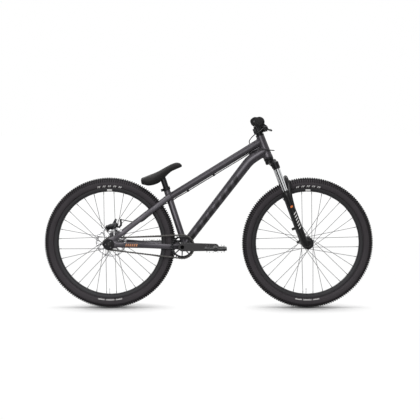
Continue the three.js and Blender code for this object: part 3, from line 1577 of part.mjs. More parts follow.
function saddle() {
  const rings = saddleShares.map(([along, top, bottom, wide]) => {
    const ring = [];
    for (let step = 0; step < saddleSides; step += 1) {
      const angle = (2 * Math.PI * (step + 0.5)) / saddleSides;
      const flat = 0.8;
      const across = Math.sign(Math.cos(angle)) * Math.abs(Math.cos(angle)) ** flat;
      const up = Math.sign(Math.sin(angle)) * Math.abs(Math.sin(angle)) ** flat;
      ring.push(new THREE.Vector3(
        along * saddleLength - saddleTail,
        (across * wide * saddleWidth) / 2,
        saddleRise * ((top + bottom) / 2 + (up * (top - bottom)) / 2) - saddleDrop,
      ));
    }
    return ring;
  });
  const body = loftSolid(rings);
  const pocketHalf = seatPostRadius + tiltRoom;
  const pocket = boxOf(-pocketHalf, pocketHalf, -seatPostRadius - clearance * 2, seatPostRadius + clearance * 2,
    -saddleDrop * 2, 0);
  const socket = barY(postHeadRadius + clearance, -postHeadHalfWidth - clearance, postHeadHalfWidth + clearance, 20);
  return cut(body, [pocket.rotate([0, -THREE.MathUtils.radToDeg(seatTilt), 0]), socket]);
}

const saddleGroup = new THREE.Group();
saddleGroup.position.copy(onSeatTube(postHeadHeight));
bike.add(saddleGroup);
addPiece(saddleGroup, 'saddle', saddle(), saddleCover);

export default bike;
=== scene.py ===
# Dirt jump bicycle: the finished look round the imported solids.
# Lengths in this file are millimetres unless a name says otherwise, and each mesh is made in metres.
import json
import math

import bmesh
import bpy
from mathutils import Matrix, Vector
from mathutils.bvhtree import BVHTree


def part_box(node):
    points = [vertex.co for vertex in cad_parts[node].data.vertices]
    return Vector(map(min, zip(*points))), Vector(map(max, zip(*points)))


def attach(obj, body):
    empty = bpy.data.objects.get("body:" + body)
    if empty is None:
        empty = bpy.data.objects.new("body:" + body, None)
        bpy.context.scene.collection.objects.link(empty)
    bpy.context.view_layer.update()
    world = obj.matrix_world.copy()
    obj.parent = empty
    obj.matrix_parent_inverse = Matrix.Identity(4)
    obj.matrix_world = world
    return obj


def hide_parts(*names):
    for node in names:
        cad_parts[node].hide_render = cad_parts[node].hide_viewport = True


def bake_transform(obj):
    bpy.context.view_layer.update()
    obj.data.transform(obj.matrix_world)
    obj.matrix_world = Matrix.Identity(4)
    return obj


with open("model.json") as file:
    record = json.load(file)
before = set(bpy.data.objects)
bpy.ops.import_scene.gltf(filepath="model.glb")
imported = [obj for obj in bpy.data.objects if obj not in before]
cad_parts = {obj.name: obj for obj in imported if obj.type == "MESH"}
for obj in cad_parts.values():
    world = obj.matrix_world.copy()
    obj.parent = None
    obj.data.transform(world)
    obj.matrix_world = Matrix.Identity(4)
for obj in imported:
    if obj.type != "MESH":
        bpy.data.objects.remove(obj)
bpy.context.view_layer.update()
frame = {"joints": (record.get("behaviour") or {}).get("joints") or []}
scene = bpy.context.scene
mm = 0.001
joints = {joint["name"]: joint for joint in frame["joints"]}

# Camera
# A long lens square to the right side of the bicycle, a little above the top tube and tipped down,
# which shows both rims of each wheel as the photograph does.
eye = Vector((6.4, -5500, 973.5)) * mm
target = Vector((6.4, 0, 510.5)) * mm
camera = bpy.data.objects.new("camera", bpy.data.cameras.new("camera"))
camera.data.lens = 91.3
camera.location = eye
camera.rotation_euler = (target - eye).to_track_quat("-Z", "Y").to_euler()
scene.collection.objects.link(camera)
scene.camera = camera


# Studio
# A white floor that runs out of sight, a wide soft lamp beside the camera, one straight above and one
# behind. Floor and world are white where they are seen or reflected, and the floor throws little light back
# up. It keeps the shadow in an oval under the wheels, and in the core of that oval its own colour is darker,
# a painted shadow that deepens the lamps' one. Black cards round the set, seen only in reflections, darken
# the edges.
def add_node(tree, kind, links=None, **settings):
    node = tree.nodes.new(kind)
    for key, value in settings.items():
        setattr(node, key, value)
    for socket, source in (links or {}).items():
        if isinstance(source, bpy.types.NodeSocket):
            tree.links.new(source, node.inputs[socket])
        else:
            node.inputs[socket].default_value = source
    return node


def worked_out(tree, operation, *values):
    return add_node(tree, "ShaderNodeMath", dict(enumerate(values)), operation=operation).outputs[0]


def seen_directly(tree):
    path = add_node(tree, "ShaderNodeLightPath").outputs
    either = worked_out(tree, "MAXIMUM", path["Is Camera Ray"], path["Is Glossy Ray"])
    return worked_out(tree, "MAXIMUM", either, path["Is Transmission Ray"])


world = bpy.data.worlds.new("studio")
scene.world = world
world.use_nodes = True
sky = world.node_tree
sky_level = add_node(sky, "ShaderNodeMapRange", {"Value": seen_directly(sky), 3: 0.3, 4: 1.0})
sky.links.new(sky_level.outputs[0], sky.nodes["Background"].inputs["Strength"])
sky.nodes["Background"].inputs["Color"].default_value = (1, 1, 1, 1)


def stage_sheet(name, corners, material):
    """One flat face of the studio, its corners in metres."""
    mesh = bpy.data.meshes.new(name)
    mesh.from_pydata(corners, [], [(0, 1, 2, 3)])
    mesh.materials.append(material)
    sheet = bpy.data.objects.new(name, mesh)
    scene.collection.objects.link(sheet)
    return sheet


floor_half = 60.0
floor_white = bpy.data.materials.new("floor_white")
floor_white.use_nodes = True
floor_tree = floor_white.node_tree
floor_shader = floor_tree.nodes["Principled BSDF"]
floor_shader.inputs["Roughness"].default_value = 0.9
floor_shader.inputs["Specular IOR Level"].default_value = 0.1
floor_shader.inputs["Emission Color"].default_value = (1, 1, 1, 1)
floor_seen = seen_directly(floor_tree)
floor_place = add_node(floor_tree, "ShaderNodeSeparateXYZ",
    {0: add_node(floor_tree, "ShaderNodeTexCoord").outputs["Object"]}).outputs
floor_along = worked_out(floor_tree, "ABSOLUTE", floor_place["X"])
wheel_foot, shade_past_foot, shade_middle, shade_half_wide = 0.512, 0.4, -0.02, 0.21
spans = {}
for axis, place, middle, reach in (
    (0, floor_along, wheel_foot, shade_past_foot),
    (1, floor_place["Y"], shade_middle, shade_half_wide),
):
    limits = {"Value": place, 1: middle, 2: middle + reach}
    spans[axis] = add_node(floor_tree, "ShaderNodeMapRange", limits, clamp=False).outputs[0]
floor_out = add_node(floor_tree, "ShaderNodeCombineXYZ", spans).outputs[0]
floor_reach = add_node(floor_tree, "ShaderNodeVectorMath", {0: floor_out},
    operation="LENGTH").outputs["Value"]
floor_lift = add_node(floor_tree, "ShaderNodeMapRange", {"Value": floor_reach, 1: 0.25, 2: 1.0},
    interpolation_type="SMOOTHSTEP").outputs[0]
floor_glow = worked_out(floor_tree, "MULTIPLY", floor_seen, floor_lift)
floor_tree.links.new(floor_glow, floor_shader.inputs["Emission Strength"])
# Painted shadow: where it is seen, the floor's own colour falls from 0.92 to 0.5 in the core under each
# wheel.
painted_shadow_limits = {"Value": floor_reach, 2: 0.4, 3: 0.5, 4: 0.92}
floor_painted_shadow = add_node(floor_tree, "ShaderNodeMapRange", painted_shadow_limits).outputs[0]
floor_near = add_node(floor_tree, "ShaderNodeMix", {0: floor_seen, 6: (0.3, 0.3, 0.3, 1), 7: floor_painted_shadow},
    data_type="RGBA").outputs[2]
floor_shade = add_node(floor_tree, "ShaderNodeMix", {0: floor_glow, 6: floor_near, 7: (0, 0, 0, 1)},
    data_type="RGBA")
floor_tree.links.new(floor_shade.outputs[2], floor_shader.inputs["Base Color"])
stage_sheet("floor", [(x * floor_half, y * floor_half, 0) for x, y in ((-1, -1), (1, -1), (1, 1), (-1, 1))],
    floor_white)

for lamp_name, lamp_place, lamp_width, lamp_watts in (
    ("lamp_above", (0, -0.15, 3.6), 1.6, 78),
    ("lamp_front", (-0.7, -4.2, 1.9), 2.4, 118),
    ("lamp_behind", (-1.6, 3.6, 1.8), 2.4, 35),
):
    lamp = bpy.data.objects.new(lamp_name, bpy.data.lights.new(lamp_name, "AREA"))
    lamp.data.size = lamp_width
    lamp.data.energy = lamp_watts
    lamp.location = lamp_place
    lamp.rotation_euler = (target - lamp.location).to_track_quat("-Z", "Y").to_euler()
    scene.collection.objects.link(lamp)
scene.view_settings.view_transform = "Standard"

card_black = bpy.data.materials.new("card_black")
card_black.use_nodes = True
card_shader = card_black.node_tree.nodes["Principled BSDF"]
card_shader.inputs["Base Color"].default_value = (0, 0, 0, 1)
card_shader.inputs["Specular IOR Level"].default_value = 0
for card_name, card_corners in (
    ("card_low", [(-2.6, -0.55, 0.02), (2.6, -0.55, 0.02), (2.6, -3.2, 0.02), (-2.6, -3.2, 0.02)]),
    ("card_high", [(-2.6, -2.4, 2.9), (2.6, -2.4, 2.9), (2.6, -0.7, 2.3), (-2.6, -0.7, 2.3)]),
    ("card_left", [(-3, -1.6, 0.1), (-3, -1.6, 2.6), (-2.2, -2.8, 2.6), (-2.2, -2.8, 0.1)]),
    ("card_right", [(3, -1.6, 0.1), (3, -1.6, 2.6), (2.2, -2.8, 2.6), (2.2, -2.8, 0.1)]),
    ("card_behind", [(-3, 0.9, 0.02), (3, 0.9, 0.02), (3, 3, 0.02), (-3, 3, 0.02)]),
):
    card = stage_sheet(card_name, card_corners, card_black)
    card.visible_camera = card.visible_diffuse = card.visible_shadow = card.visible_transmission = False


def soft_finish(name, colour, roughness, metallic=0.0, grain=900.0, relief=0.1, drift=0.12, scale=14.0,
                coat=0.0, shine=0.3):
    """A surface whose colour and gloss drift a little, under a fine grain."""
    material = bpy.data.materials.new(name)
    material.use_nodes = True
    tree = material.node_tree
    shader = tree.nodes["Principled BSDF"]
    where = add_node(tree, "ShaderNodeTexCoord").outputs["Object"]
    cloud = add_node(tree, "ShaderNodeTexNoise", {"Vector": where, "Scale": scale, "Detail": 6.0}).outputs[0]
    darker = [part * (1 - drift) for part in colour] + [1]
    lighter = [min(part * (1 + drift), 1) for part in colour] + [1]
    shade = add_node(tree, "ShaderNodeMix", {0: cloud, 6: darker, 7: lighter}, data_type="RGBA")
    gloss = add_node(tree, "ShaderNodeMapRange", {"Value": cloud, 3: roughness * (1 - drift),
        4: min(roughness * (1 + drift), 1)})
    dust = add_node(tree, "ShaderNodeTexNoise", {"Vector": where, "Scale": grain, "Detail": 3.0}).outputs[0]
    raised = add_node(tree, "ShaderNodeBump", {"Strength": relief, "Distance": 0.0006, "Height": dust})
    tree.links.new(shade.outputs[2], shader.inputs["Base Color"])
    tree.links.new(gloss.outputs[0], shader.inputs["Roughness"])
    tree.links.new(raised.outputs[0], shader.inputs["Normal"])
    shader.inputs["Metallic"].default_value = metallic
    shader.inputs["Coat Weight"].default_value = coat
    shader.inputs["Specular IOR Level"].default_value = shine
    return material


def mesh_piece(name, points, faces, material, place=Matrix.Identity(4), sharp=35):
    """A closed piece from points in millimetres, merged, facing outwards and smooth up to an angle."""
    mesh = bpy.data.meshes.new(name)
    mesh.from_pydata([Vector(point) * mm for point in points], [], faces)
    work = bmesh.new()
    work.from_mesh(mesh)
    bmesh.ops.remove_doubles(work, verts=work.verts, dist=2e-6)
    bmesh.ops.recalc_face_normals(work, faces=work.faces)
    work.to_mesh(mesh)
    work.free()
    mesh.transform(place)
    mesh.materials.append(material)
    mesh.shade_smooth()
    mesh.set_sharp_from_angle(angle=math.radians(sharp))
    piece = bpy.data.objects.new(name, mesh)
    scene.collection.objects.link(piece)
    return piece


def skin_faces(rows, count, close_rows, close_columns):
    faces = []
    for row in range(rows if close_rows else rows - 1):
        here, there = row * count, (row + 1) % rows * count
        for column in range(count if close_columns else count - 1):
            after = (column + 1) % count
            faces.append((here + column, here + after, there + after, there + column))
    if not close_rows:
        faces.append(tuple(reversed(range(count))))
        faces.append(tuple(range((rows - 1) * count, rows * count)))
    return faces


def turned(name, profile, material, place, steps=96, sharp=35):
    """A profile of (radius, y) corners turned about the Y axis. It starts on the axis or closes on itself."""
    points = []
    for step in range(steps):
        angle = math.tau * step / steps
        points += [(radius * math.cos(angle), y, radius * math.sin(angle)) for radius, y in profile]
    faces = skin_faces(steps, len(profile), True, profile[0][0] > 0)
    return mesh_piece(name, points, faces, material, place, sharp)


def node_tree(name, inputs):
    """A Geometry Nodes tree with named inputs. Every tree here also has the material it sets."""
    tree = bpy.data.node_groups.new(name, "GeometryNodeTree")
    for label, kind in [("Geometry", "Geometry"), *inputs, ("Material", "Material")]:
        tree.interface.new_socket(label, in_out="INPUT", socket_type="NodeSocket" + kind)
    tree.interface.new_socket("Geometry", in_out="OUTPUT", socket_type="NodeSocketGeometry")
    return tree, add_node(tree, "NodeGroupInput").outputs


def end_tree(tree, given, geometry):
    real = add_node(tree, "GeometryNodeRealizeInstances", {"Geometry": geometry}).outputs[0]
    painted = add_node(tree, "GeometryNodeSetMaterial", {"Geometry": real, "Material": given["Material"]})
    add_node(tree, "NodeGroupOutput", {"Geometry": painted.outputs[0]})


def grown(piece, tree, material, **values):
    """Runs a tree on a piece and keeps the result as its plain mesh."""
    modifier = piece.modifiers.new(tree.name, "NODES")
    modifier.node_group = tree
    for socket in tree.interface.items_tree:
        if socket.in_out == "INPUT" and socket.name in values:
            modifier[socket.identifier] = values[socket.name]
        if socket.name == "Material":
            modifier[socket.identifier] = material
    evaluated = piece.evaluated_get(bpy.context.evaluated_depsgraph_get())
    result = bpy.data.meshes.new_from_object(evaluated)
    piece.modifiers.remove(modifier)
    piece.data = result


def round_tree():
    """Copies of one piece round the Y axis."""
    tree, given = node_tree("round_the_axle", [("Count", "Int"), ("Start", "Float")])
    points = add_node(tree, "GeometryNodePoints", {"Count": given["Count"]}).outputs[0]
    index = add_node(tree, "GeometryNodeInputIndex").outputs[0]
    turn = worked_out(tree, "MULTIPLY_ADD", index, worked_out(tree, "DIVIDE", math.tau, given["Count"]),
        given["Start"])
    rotation = add_node(tree, "ShaderNodeCombineXYZ", {"Y": turn}).outputs[0]
    copies = add_node(tree, "GeometryNodeInstanceOnPoints", {"Points": points, "Instance": given["Geometry"],
        "Rotation": rotation})
    end_tree(tree, given, copies.outputs[0])
    return tree


def put(piece, body, *nodes, slot=None):
    """Fixes a finished piece to its body in place of the named solids. The slot it is given is not used."""
    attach(piece, body)
    if nodes:
        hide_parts(*nodes)


def gathered(shapes):
    """One list of points and one of faces from several."""
    points, faces = [], []
    for shape_points, shape_faces in shapes:
        faces += [tuple(index + len(points) for index in face) for face in shape_faces]
        points += list(shape_points)
    return points, faces


tyre_rubber = soft_finish("tyre_rubber", (0.05, 0.045, 0.0495), 0.62, grain=1500, relief=0.25, drift=0.2,
    shine=0.12)
tread_rubber = soft_finish("tread_rubber", (0.016, 0.0148, 0.016), 0.8, grain=1100, relief=0.35, drift=0.25,
    shine=0.08)
mark_white = soft_finish("mark_white", (0.74, 0.73, 0.72), 0.6, relief=0.05)
tyre_outer_radius = 339.5
knob_height = 5.2
knob_pitches = 180
casing_half_width = 27.4
casing_middle = 309.5
rim_edge_radius = 286.0
cap_edge_radius = 328.0
mark_deep, mark_proud = 0.5, 0.35
around_axle = round_tree()


def repeated(piece, place, count, start=0.0):
    """Copies of a piece round the Y axis, all moved to a place."""
    grown(piece, around_axle, piece.data.materials[0], Count=count, Start=start)
    piece.data.transform(place)
    return piece


def flipped(rows):
    return [(radius, -y) for radius, y in rows]


def casing_profile():
    """The carcass from bead to bead: a round of the tyre's width, with two thin raised lines a side."""
    crown = tyre_outer_radius - knob_height
    upper = crown - casing_middle
    lower = casing_middle - rim_edge_radius
    half = []
    for step in range(15):
        angle = math.radians(-60 + step * 150 / 14)
        lift = (upper if angle > 0 else lower * 1.12) * math.sin(angle)
        half.append((casing_middle + lift, casing_half_width * math.cos(angle) ** 0.8))
    lines = [(radius, max(width, 0.0)) for radius, width in half]
    for ring in (300.5, 308.5, 316.5):
        spot = next(index for index, (radius, _) in enumerate(lines) if radius > ring)
        (r0, w0), (r1, w1) = lines[spot - 1], lines[spot]
        share = (ring - r0) / (r1 - r0)
        width = w0 + (w1 - w0) * share
        lines[spot:spot] = [(ring - 0.9, width), (ring - 0.5, width + 0.7), (ring + 0.5, width + 0.7),
            (ring + 0.9, width)]
    bead = [(274, 8.4), (274, 11.7), (288.6, 11.7), (289.2, 13)]
    left = bead + [row for row in lines if row[0] > 290]
    return left + flipped(row for row in reversed(left) if row[1] > 0)


def knob(radius, y, half_along, half_across, height, tilt):
    """One knob with sloping sides, standing on the casing at an angle from the crown."""
    points = []
    for level, flare in ((-2, 1.12), (height, 1.0)):
        for along, across in ((-1, -1), (1, -1), (1, 1), (-1, 1)):
            points.append(Vector((level, across * half_across * flare, along * half_along * flare)))
    turn = Matrix.Rotation(tilt, 3, "Z")
    points = [turn @ point + Vector((radius, y, 0)) for point in points]
    faces = [(0, 3, 2, 1), (4, 5, 6, 7), (0, 1, 5, 4), (1, 2, 6, 5), (2, 3, 7, 6), (3, 0, 4, 7)]
    return [tuple(point) for point in points], faces


def tread_pitch():
    """The knobs of one row across the tread, alike on both sides."""
    crown = tyre_outer_radius - knob_height
    knob_rows = [(0, 4.6, 2.6, 3.6, 5.0, 0), (1.4, 12.8, 2.6, 3.4, 4.9, 0.28), (6, 20, 2.5, 3.3, 4.8, 0.72),
        (12.5, 24.2, 2.6, 5.2, 3.6, 1.15)]
    return gathered([knob(crown - drop, side * out, half_along, half_across, height, side * tilt)
        for side in (-1, 1) for drop, out, half_along, half_across, height, tilt in knob_rows])


def tread_cap():
    """The band under the knobs, a little proud of the carcass from shoulder to shoulder."""
    rows = [row for row in casing_profile() if row[0] > cap_edge_radius]
    outer = [(radius + 0.02 * (radius - casing_middle), y * 1.015) for radius, y in rows]
    return outer + [(radius - 1.5, y * 0.95) for radius, y in reversed(rows)]


def side_at(profile, radius):
    """How far out the right side of a turned profile stands at a radius."""
    out = 0.0
    for (r0, y0), (r1, y1) in zip(profile, profile[1:] + profile[:1]):
        if min(r0, r1) <= radius <= max(r0, r1) and r0 != r1:
            out = max(out, -(y0 + (y1 - y0) * (radius - r0) / (r1 - r0)))
    return out


def thin_shell(place, rows, columns):
    """A closed patch over a surface. place gives a point for two shares and a level above the surface."""
    points = [place(row / rows, column / columns, level) for level in (-mark_deep, mark_proud)
        for row in range(rows + 1) for column in range(columns + 1)]
    wide, layer = columns + 1, (rows + 1) * (columns + 1)
    faces = []
    for row in range(rows):
        for column in range(columns):
            corner = row * wide + column
            face = (corner, corner + 1, corner + wide + 1, corner + wide)
            faces += [face, tuple(index + layer for index in reversed(face))]
    edge = [*range(columns)] + [row * wide + columns for row in range(rows)]
    edge += [rows * wide + column for column in range(columns, 0, -1)]
    edge += [row * wide for row in range(rows, 0, -1)]
    for here, after in zip(edge, edge[1:] + edge[:1]):
        faces.append((here, after, after + layer, here + layer))
    return points, faces


def wheel_mark(profile, low, high, angle, length, slant, side):
    """A bar on the side of a tyre or rim: its radii, the angle of its middle, its length and its slant."""
    def place(u, v, level):
        radius = low + (high - low) * u
        turn = angle + side * ((v - 0.5) * length + (u - 0.5) * slant) / radius
        return (radius * math.cos(turn), side * (side_at(profile, radius) + level), radius * math.sin(turn))
    return thin_shell(place, 4, 2)


def sidewall_marks(end, at_hub, body):
    """White bars moulded on the sidewall: five slanted pairs at the top, three rows of small ones below."""
    profile, shapes = casing_profile(), []
    pair_pitch, pair_radius, small_pitch, small_radius = 27.5, 297, 4.8, 295
    for side in (-1, 1):
        for pair in range(5):
            for offset in (-4.2, 4.2):
                angle = math.pi / 2 - side * ((pair - 2) * pair_pitch + offset) / pair_radius
                shapes.append(wheel_mark(profile, 290.4, 300.6, angle, 4.6, 5.4, side))
        for group, count in ((-46, 7), (0, 9), (46, 7)):
            for bar in range(count):
                angle = -math.pi / 2 + side * (group + (bar - (count - 1) / 2) * small_pitch) / small_radius
                shapes.append(wheel_mark(profile, 292.0, 298.5, angle, 2.9, 1.8, side))
    put(mesh_piece(end + "_tyre_bars", *gathered(shapes), mark_white, at_hub), body, slot="tyre_rubber")


def tyre(end, at_hub, body):
    put(turned(end + "_tyre_casing", casing_profile(), tyre_rubber, at_hub, 192, 28), body, end + "_tyre")
    put(turned(end + "_tyre_cap", tread_cap(), tread_rubber, at_hub, 192, 28), body)
    tread = mesh_piece(end + "_tyre_tread", *tread_pitch(), tread_rubber, sharp=20)
    put(repeated(tread, at_hub, knob_pitches), body)
    sidewall_marks(end, at_hub, body)


def middle_of(node):
    low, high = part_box(node)
    return (low + high) / 2


rear_centre, front_centre = middle_of("rear_rim"), middle_of("front_rim")
at_rear, at_front = Matrix.Translation(rear_centre), Matrix.Translation(front_centre)
tyre("rear", at_rear, "rear_wheel")
tyre("front", at_front, "front_wheel")


# Rims
# Black anodised box-section alloy, extruded and rolled into a hoop, with a hooked edge for the bead and
# an eyelet for each spoke. Each has one valve with its cap between two spokes, and a plain bar on each side.
black_alloy = soft_finish("black_alloy", (0.011, 0.011, 0.0125), 0.34, 0.4, grain=2600, relief=0.06,
    shine=0.3)
rim_alloy = soft_finish("rim_alloy", (0.023, 0.0225, 0.0245), 0.5, 0.3, grain=2600, relief=0.06, shine=0.3)
rim_hook = [(286, 15), (286.5, 14.2), (286, 13), (284, 12.4), (273, 12.4)]
rim_back = [(273.5, 15), (271, 13.8), (268, 9.5), (266.8, 6.2)]
rim_profile = flipped(rim_hook) + rim_hook[::-1] + rim_back + [(266.6, 0)] + flipped(rim_back[::-1])
eyelet_profile = [(0, 0), (3.6, 0), (3.9, 0.5), (3.6, 1), (0, 1)]
spokes_per_side = 16
spoke_pitch = math.tau / spokes_per_side
lacing_turn = math.radians(6.75)
rim_spoke_radius = 266.6
valve_nickel = soft_finish("valve_nickel", (0.6, 0.6, 0.61), 0.4, 0.9)
valve_angle = lacing_turn + math.radians(84.4)
to_centre = Matrix.Rotation(math.pi / 2, 4, "Z")
upright = Matrix.Rotation(math.pi / 2, 4, "X")
both_sides = (("right", -1), ("left", 1))


def moved(x, y, z):
    return Matrix.Translation(Vector((x, y, z)) * mm)


def joined(name, pieces):
    """Several pieces as one object, each still a closed shell."""
    with bpy.context.temp_override(active_object=pieces[0], selected_editable_objects=pieces):
        bpy.ops.object.join()
    pieces[0].name = name
    return pieces[0]


def rim(end, at_hub, body):
    put(turned(end + "_rim_hoop", rim_profile, rim_alloy, at_hub, 192, 32), body, end + "_rim")
    inward = moved(rim_spoke_radius + 0.2, 0, 0) @ to_centre
    eyelet = turned(end + "_rim_eyelets", eyelet_profile, black_alloy, inward, 12)
    put(repeated(eyelet, at_hub, 2 * spokes_per_side, lacing_turn), body)
    at_valve = at_hub @ Matrix.Rotation(valve_angle, 4, "Y") @ moved(263, 0, 0) @ to_centre
    put(turned(end + "_valve", [(0, -4), (2.6, -4), (2.6, 10), (2, 11), (2, 15), (2.7, 15.4), (2.7, 23),
        (1.8, 25), (0, 25)], valve_nickel, at_valve, 20), body)
    bars = [wheel_mark(rim_profile, 269.5, 279.5, math.pi / 2, 25.0, 0.0, side) for side in (-1, 1)]
    put(mesh_piece(end + "_rim_label", *gathered(bars), mark_white, at_hub), body, slot="black_alloy")


# Hubs
# Black turned alloy shells with a flange at each end, drilled for the spokes. The rear one carries the
# rotor on its left and the freewheel on its right. Plain end caps stand against the dropouts.
bright_steel = soft_finish("bright_steel", (0.12, 0.12, 0.125), 0.4, 0.3, grain=3000, relief=0.05, drift=0.08)
flange_radius, flange_half, hub_end_inset = 31.0, 1.7, 8.0


def hub(end, at_hub, body, half_width, flange_y, right_seat, left_seat, left_seat_end):
    finish_y = half_width - hub_end_inset
    far, near = flange_y + flange_half, flange_y - flange_half
    flange = [(flange_radius - 0.8, far), (flange_radius, far - 0.8), (flange_radius, near + 0.8),
        (flange_radius - 0.8, near), (24, near - 0.4), (18.5, near - 3), (15.4, near - 8), (13.6, near - 16)]
    profile = [(5.4, -finish_y), (12.2, -finish_y), (13, -finish_y + 0.8), (13, -finish_y + 3.4),
        (right_seat, -finish_y + 4.2), (right_seat, -far - 1.2), (right_seat + 1.2, -far), *flipped(flange),
        (13.4, 0), *flange[::-1], (left_seat + 1.2, far), (left_seat, far + 1.2),
        (left_seat, left_seat_end - 0.8), (left_seat - 0.8, left_seat_end), (13, left_seat_end),
        (13, finish_y - 0.8), (12.2, finish_y), (5.4, finish_y)]
    put(turned(end + "_hub_shell", profile, black_alloy, at_hub, 64, 30), body, end + "_hub")


# Spokes
# Steel wire, bent at the head through the flange and screwed into a nipple at the rim. Each crosses three
# others of its side. Heads lie in turn outside and inside the flange.
spoke_radius = 1.3
head_radius = 28.0


def wire(path, radii, sides=8):
    """Points and faces of a round wire with a radius at each place of its path."""
    rings = []
    for index, here in enumerate(path):
        before, after = path[max(index - 1, 0)], path[min(index + 1, len(path) - 1)]
        along = (after - before).normalized()
        side = along.cross(Vector((0, 1, 0)) if abs(along.y) < 0.9 else Vector((1, 0, 0))).normalized()
        up = along.cross(side)
        for step in range(sides):
            turn = math.tau * step / sides
            rings.append(here + (side * math.cos(turn) + up * math.sin(turn)) * radii[index])
    return rings, skin_faces(len(path), sides, False, True)


def polar(radius, angle, y):
    return Vector((radius * math.cos(angle), y, radius * math.sin(angle)))


def spoke_pair(side, flange_y):
    """The spoke that leans forward from one hole and the one that leans back from the next."""
    shapes = []
    for index, lean in ((0, 1), (1, -1)):
        hole = index * spoke_pitch
        foot = polar(head_radius, hole, side * (flange_y + lean * 3.0))
        rim_end = polar(rim_spoke_radius - 0.5, hole + lean * 3 * spoke_pitch, side * (2.8 + lean * 1.3))
        along = (rim_end - foot).normalized()
        other_side = polar(head_radius, hole, side * (flange_y - lean * 2.2))
        path = [other_side - Vector((0, side * lean * 0.9, 0)), other_side,
            foot + Vector((0, -side * lean * 1.2, 0)),
            foot + along * 0.5 + Vector((0, -side * lean * 0.35, 0)), foot + along * 1.6, rim_end]
        shapes.append(wire(path, [2.1, 1.9] + 4 * [spoke_radius]))
        nipple = [rim_end - along * 13, rim_end - along * 12, rim_end - along * 2, rim_end]
        shapes.append(wire(nipple, [1.5, 1.9, 1.9, 2.3], 6))
    return gathered(shapes)


def spokes(end, at_hub, body, flange_y):
    for name, side, turn in (("right", -1, 0.0), ("left", 1, spoke_pitch / 2)):
        pair = mesh_piece(f"{end}_spoke_set_{name}", *spoke_pair(side, flange_y), bright_steel)
        put(repeated(pair, at_hub, spokes_per_side // 2, -(lacing_turn + turn)), body, f"{end}_spokes_{name}")


rear_flange, front_flange = 31.3, 29.3
for end, at_hub, flange_y in (("rear", at_rear, rear_flange), ("front", at_front, front_flange)):
    rim(end, at_hub, end + "_wheel")
    spokes(end, at_hub, end + "_wheel", flange_y)
hub("rear", at_rear, "rear_wheel", 67.5, rear_flange, 17.0, 22.0, 50.0)
hub("front", at_front, "front_wheel", 50.0, front_flange, 16.0, 16.0, 38.0)

# Brake rotor
# A stainless disc of 160 mm with a drilled track and six leaning arms, held to the hub by six bolts.
rotor_radius, rotor_low, rotor_high, rotor_arms, rotor_bolt_radius = 80.0, 50.3, 52.3, 6, 24.0
rotor_window_outer, rotor_window_inner, first_hole_row, hole_row_step = 67.5, 29.0, 71.0, 2.6


def on_circle(radius, angle, x=0.0, z=0.0):
    return x + radius * math.cos(angle), z + radius * math.sin(angle)


def arc(radius, start, stop, steps, x=0.0, z=0.0):
    return [on_circle(radius, start + (stop - start) * step / steps, x, z) for step in range(steps + 1)]


def circle(radius, steps, x=0.0, z=0.0):
    return arc(radius, 0, math.tau, steps, x, z)[:-1]


def spread(side, near, far):
    """Two distances from the middle plane on one side of it, the lower Y first."""
    return sorted((side * near, side * far))


def plate(name, outlines, low, high, edge, material, place=Matrix.Identity(4), sharp=35):
    """A flat plate with its holes, drawn in the X-Z plane from one Y to a higher one, with broken edges."""
    drawing = bpy.data.curves.new(name, "CURVE")
    drawing.dimensions = "2D"
    drawing.fill_mode = "BOTH"
    drawing.extrude = (high - low) / 2 - edge
    drawing.bevel_depth = edge
    drawing.bevel_resolution = 1
    drawing.offset = -edge
    for outline in outlines:
        line = drawing.splines.new("POLY")
        line.points.add(len(outline) - 1)
        for point, (x, z) in zip(line.points, outline):
            point.co = (x, z, 0, 1)
        line.use_cyclic_u = True
    holder = bpy.data.objects.new(name + "_drawing", drawing)
    scene.collection.objects.link(holder)
    mesh = bpy.data.meshes.new_from_object(holder.evaluated_get(bpy.context.evaluated_depsgraph_get()))
    bpy.data.objects.remove(holder)
    mesh.transform(Matrix.Translation((0, (low + high) / 2, 0)) @ upright)
    points = [vertex.co.copy() for vertex in mesh.vertices]
    faces = [tuple(face.vertices) for face in mesh.polygons]
    bpy.data.meshes.remove(mesh)
    return mesh_piece(name, points, faces, material, place, sharp)


def rotor_outlines():
    outlines = [circle(rotor_radius, 120), circle(17.2, 40)]
    pitch = math.tau / rotor_arms
    half = pitch / 13
    for index in range(rotor_arms):
        start, stop = index * pitch + half, (index + 1) * pitch - half
        lean = 3.2 * half
        outlines.append(arc(rotor_window_outer, start + lean, stop + lean, 14)
            + arc(rotor_window_inner, stop, start, 5))
        outlines.append(circle(2.4, 12, *on_circle(rotor_bolt_radius, index * pitch)))
        for step in range(6):
            angle = index * pitch + step * pitch / 6
            radius = first_hole_row + hole_row_step * (step % 3)
            outlines.append(circle(2, 12, *on_circle(radius, angle)))
    return outlines


rotor_steel = soft_finish("rotor_steel", (0.66, 0.66, 0.67), 0.3, 1.0, grain=700, relief=0.12, drift=0.06)
put(plate("brake_rotor_disc", rotor_outlines(), rotor_low, rotor_high, 0.25, rotor_steel, at_rear),
    "rear_wheel", "brake_rotor")
bolt_profile = [(0, 1.2), (1.5, 1.2), (1.5, 2.6), (3.2, 2.4), (3.9, 1.6), (4.1, 0), (4.1, -1.4), (0, -1.4)]
rotor_bolt = turned("rotor_bolts", bolt_profile, black_alloy, moved(rotor_bolt_radius, rotor_high, 0), 20)
put(repeated(rotor_bolt, at_rear, rotor_arms), "rear_wheel")

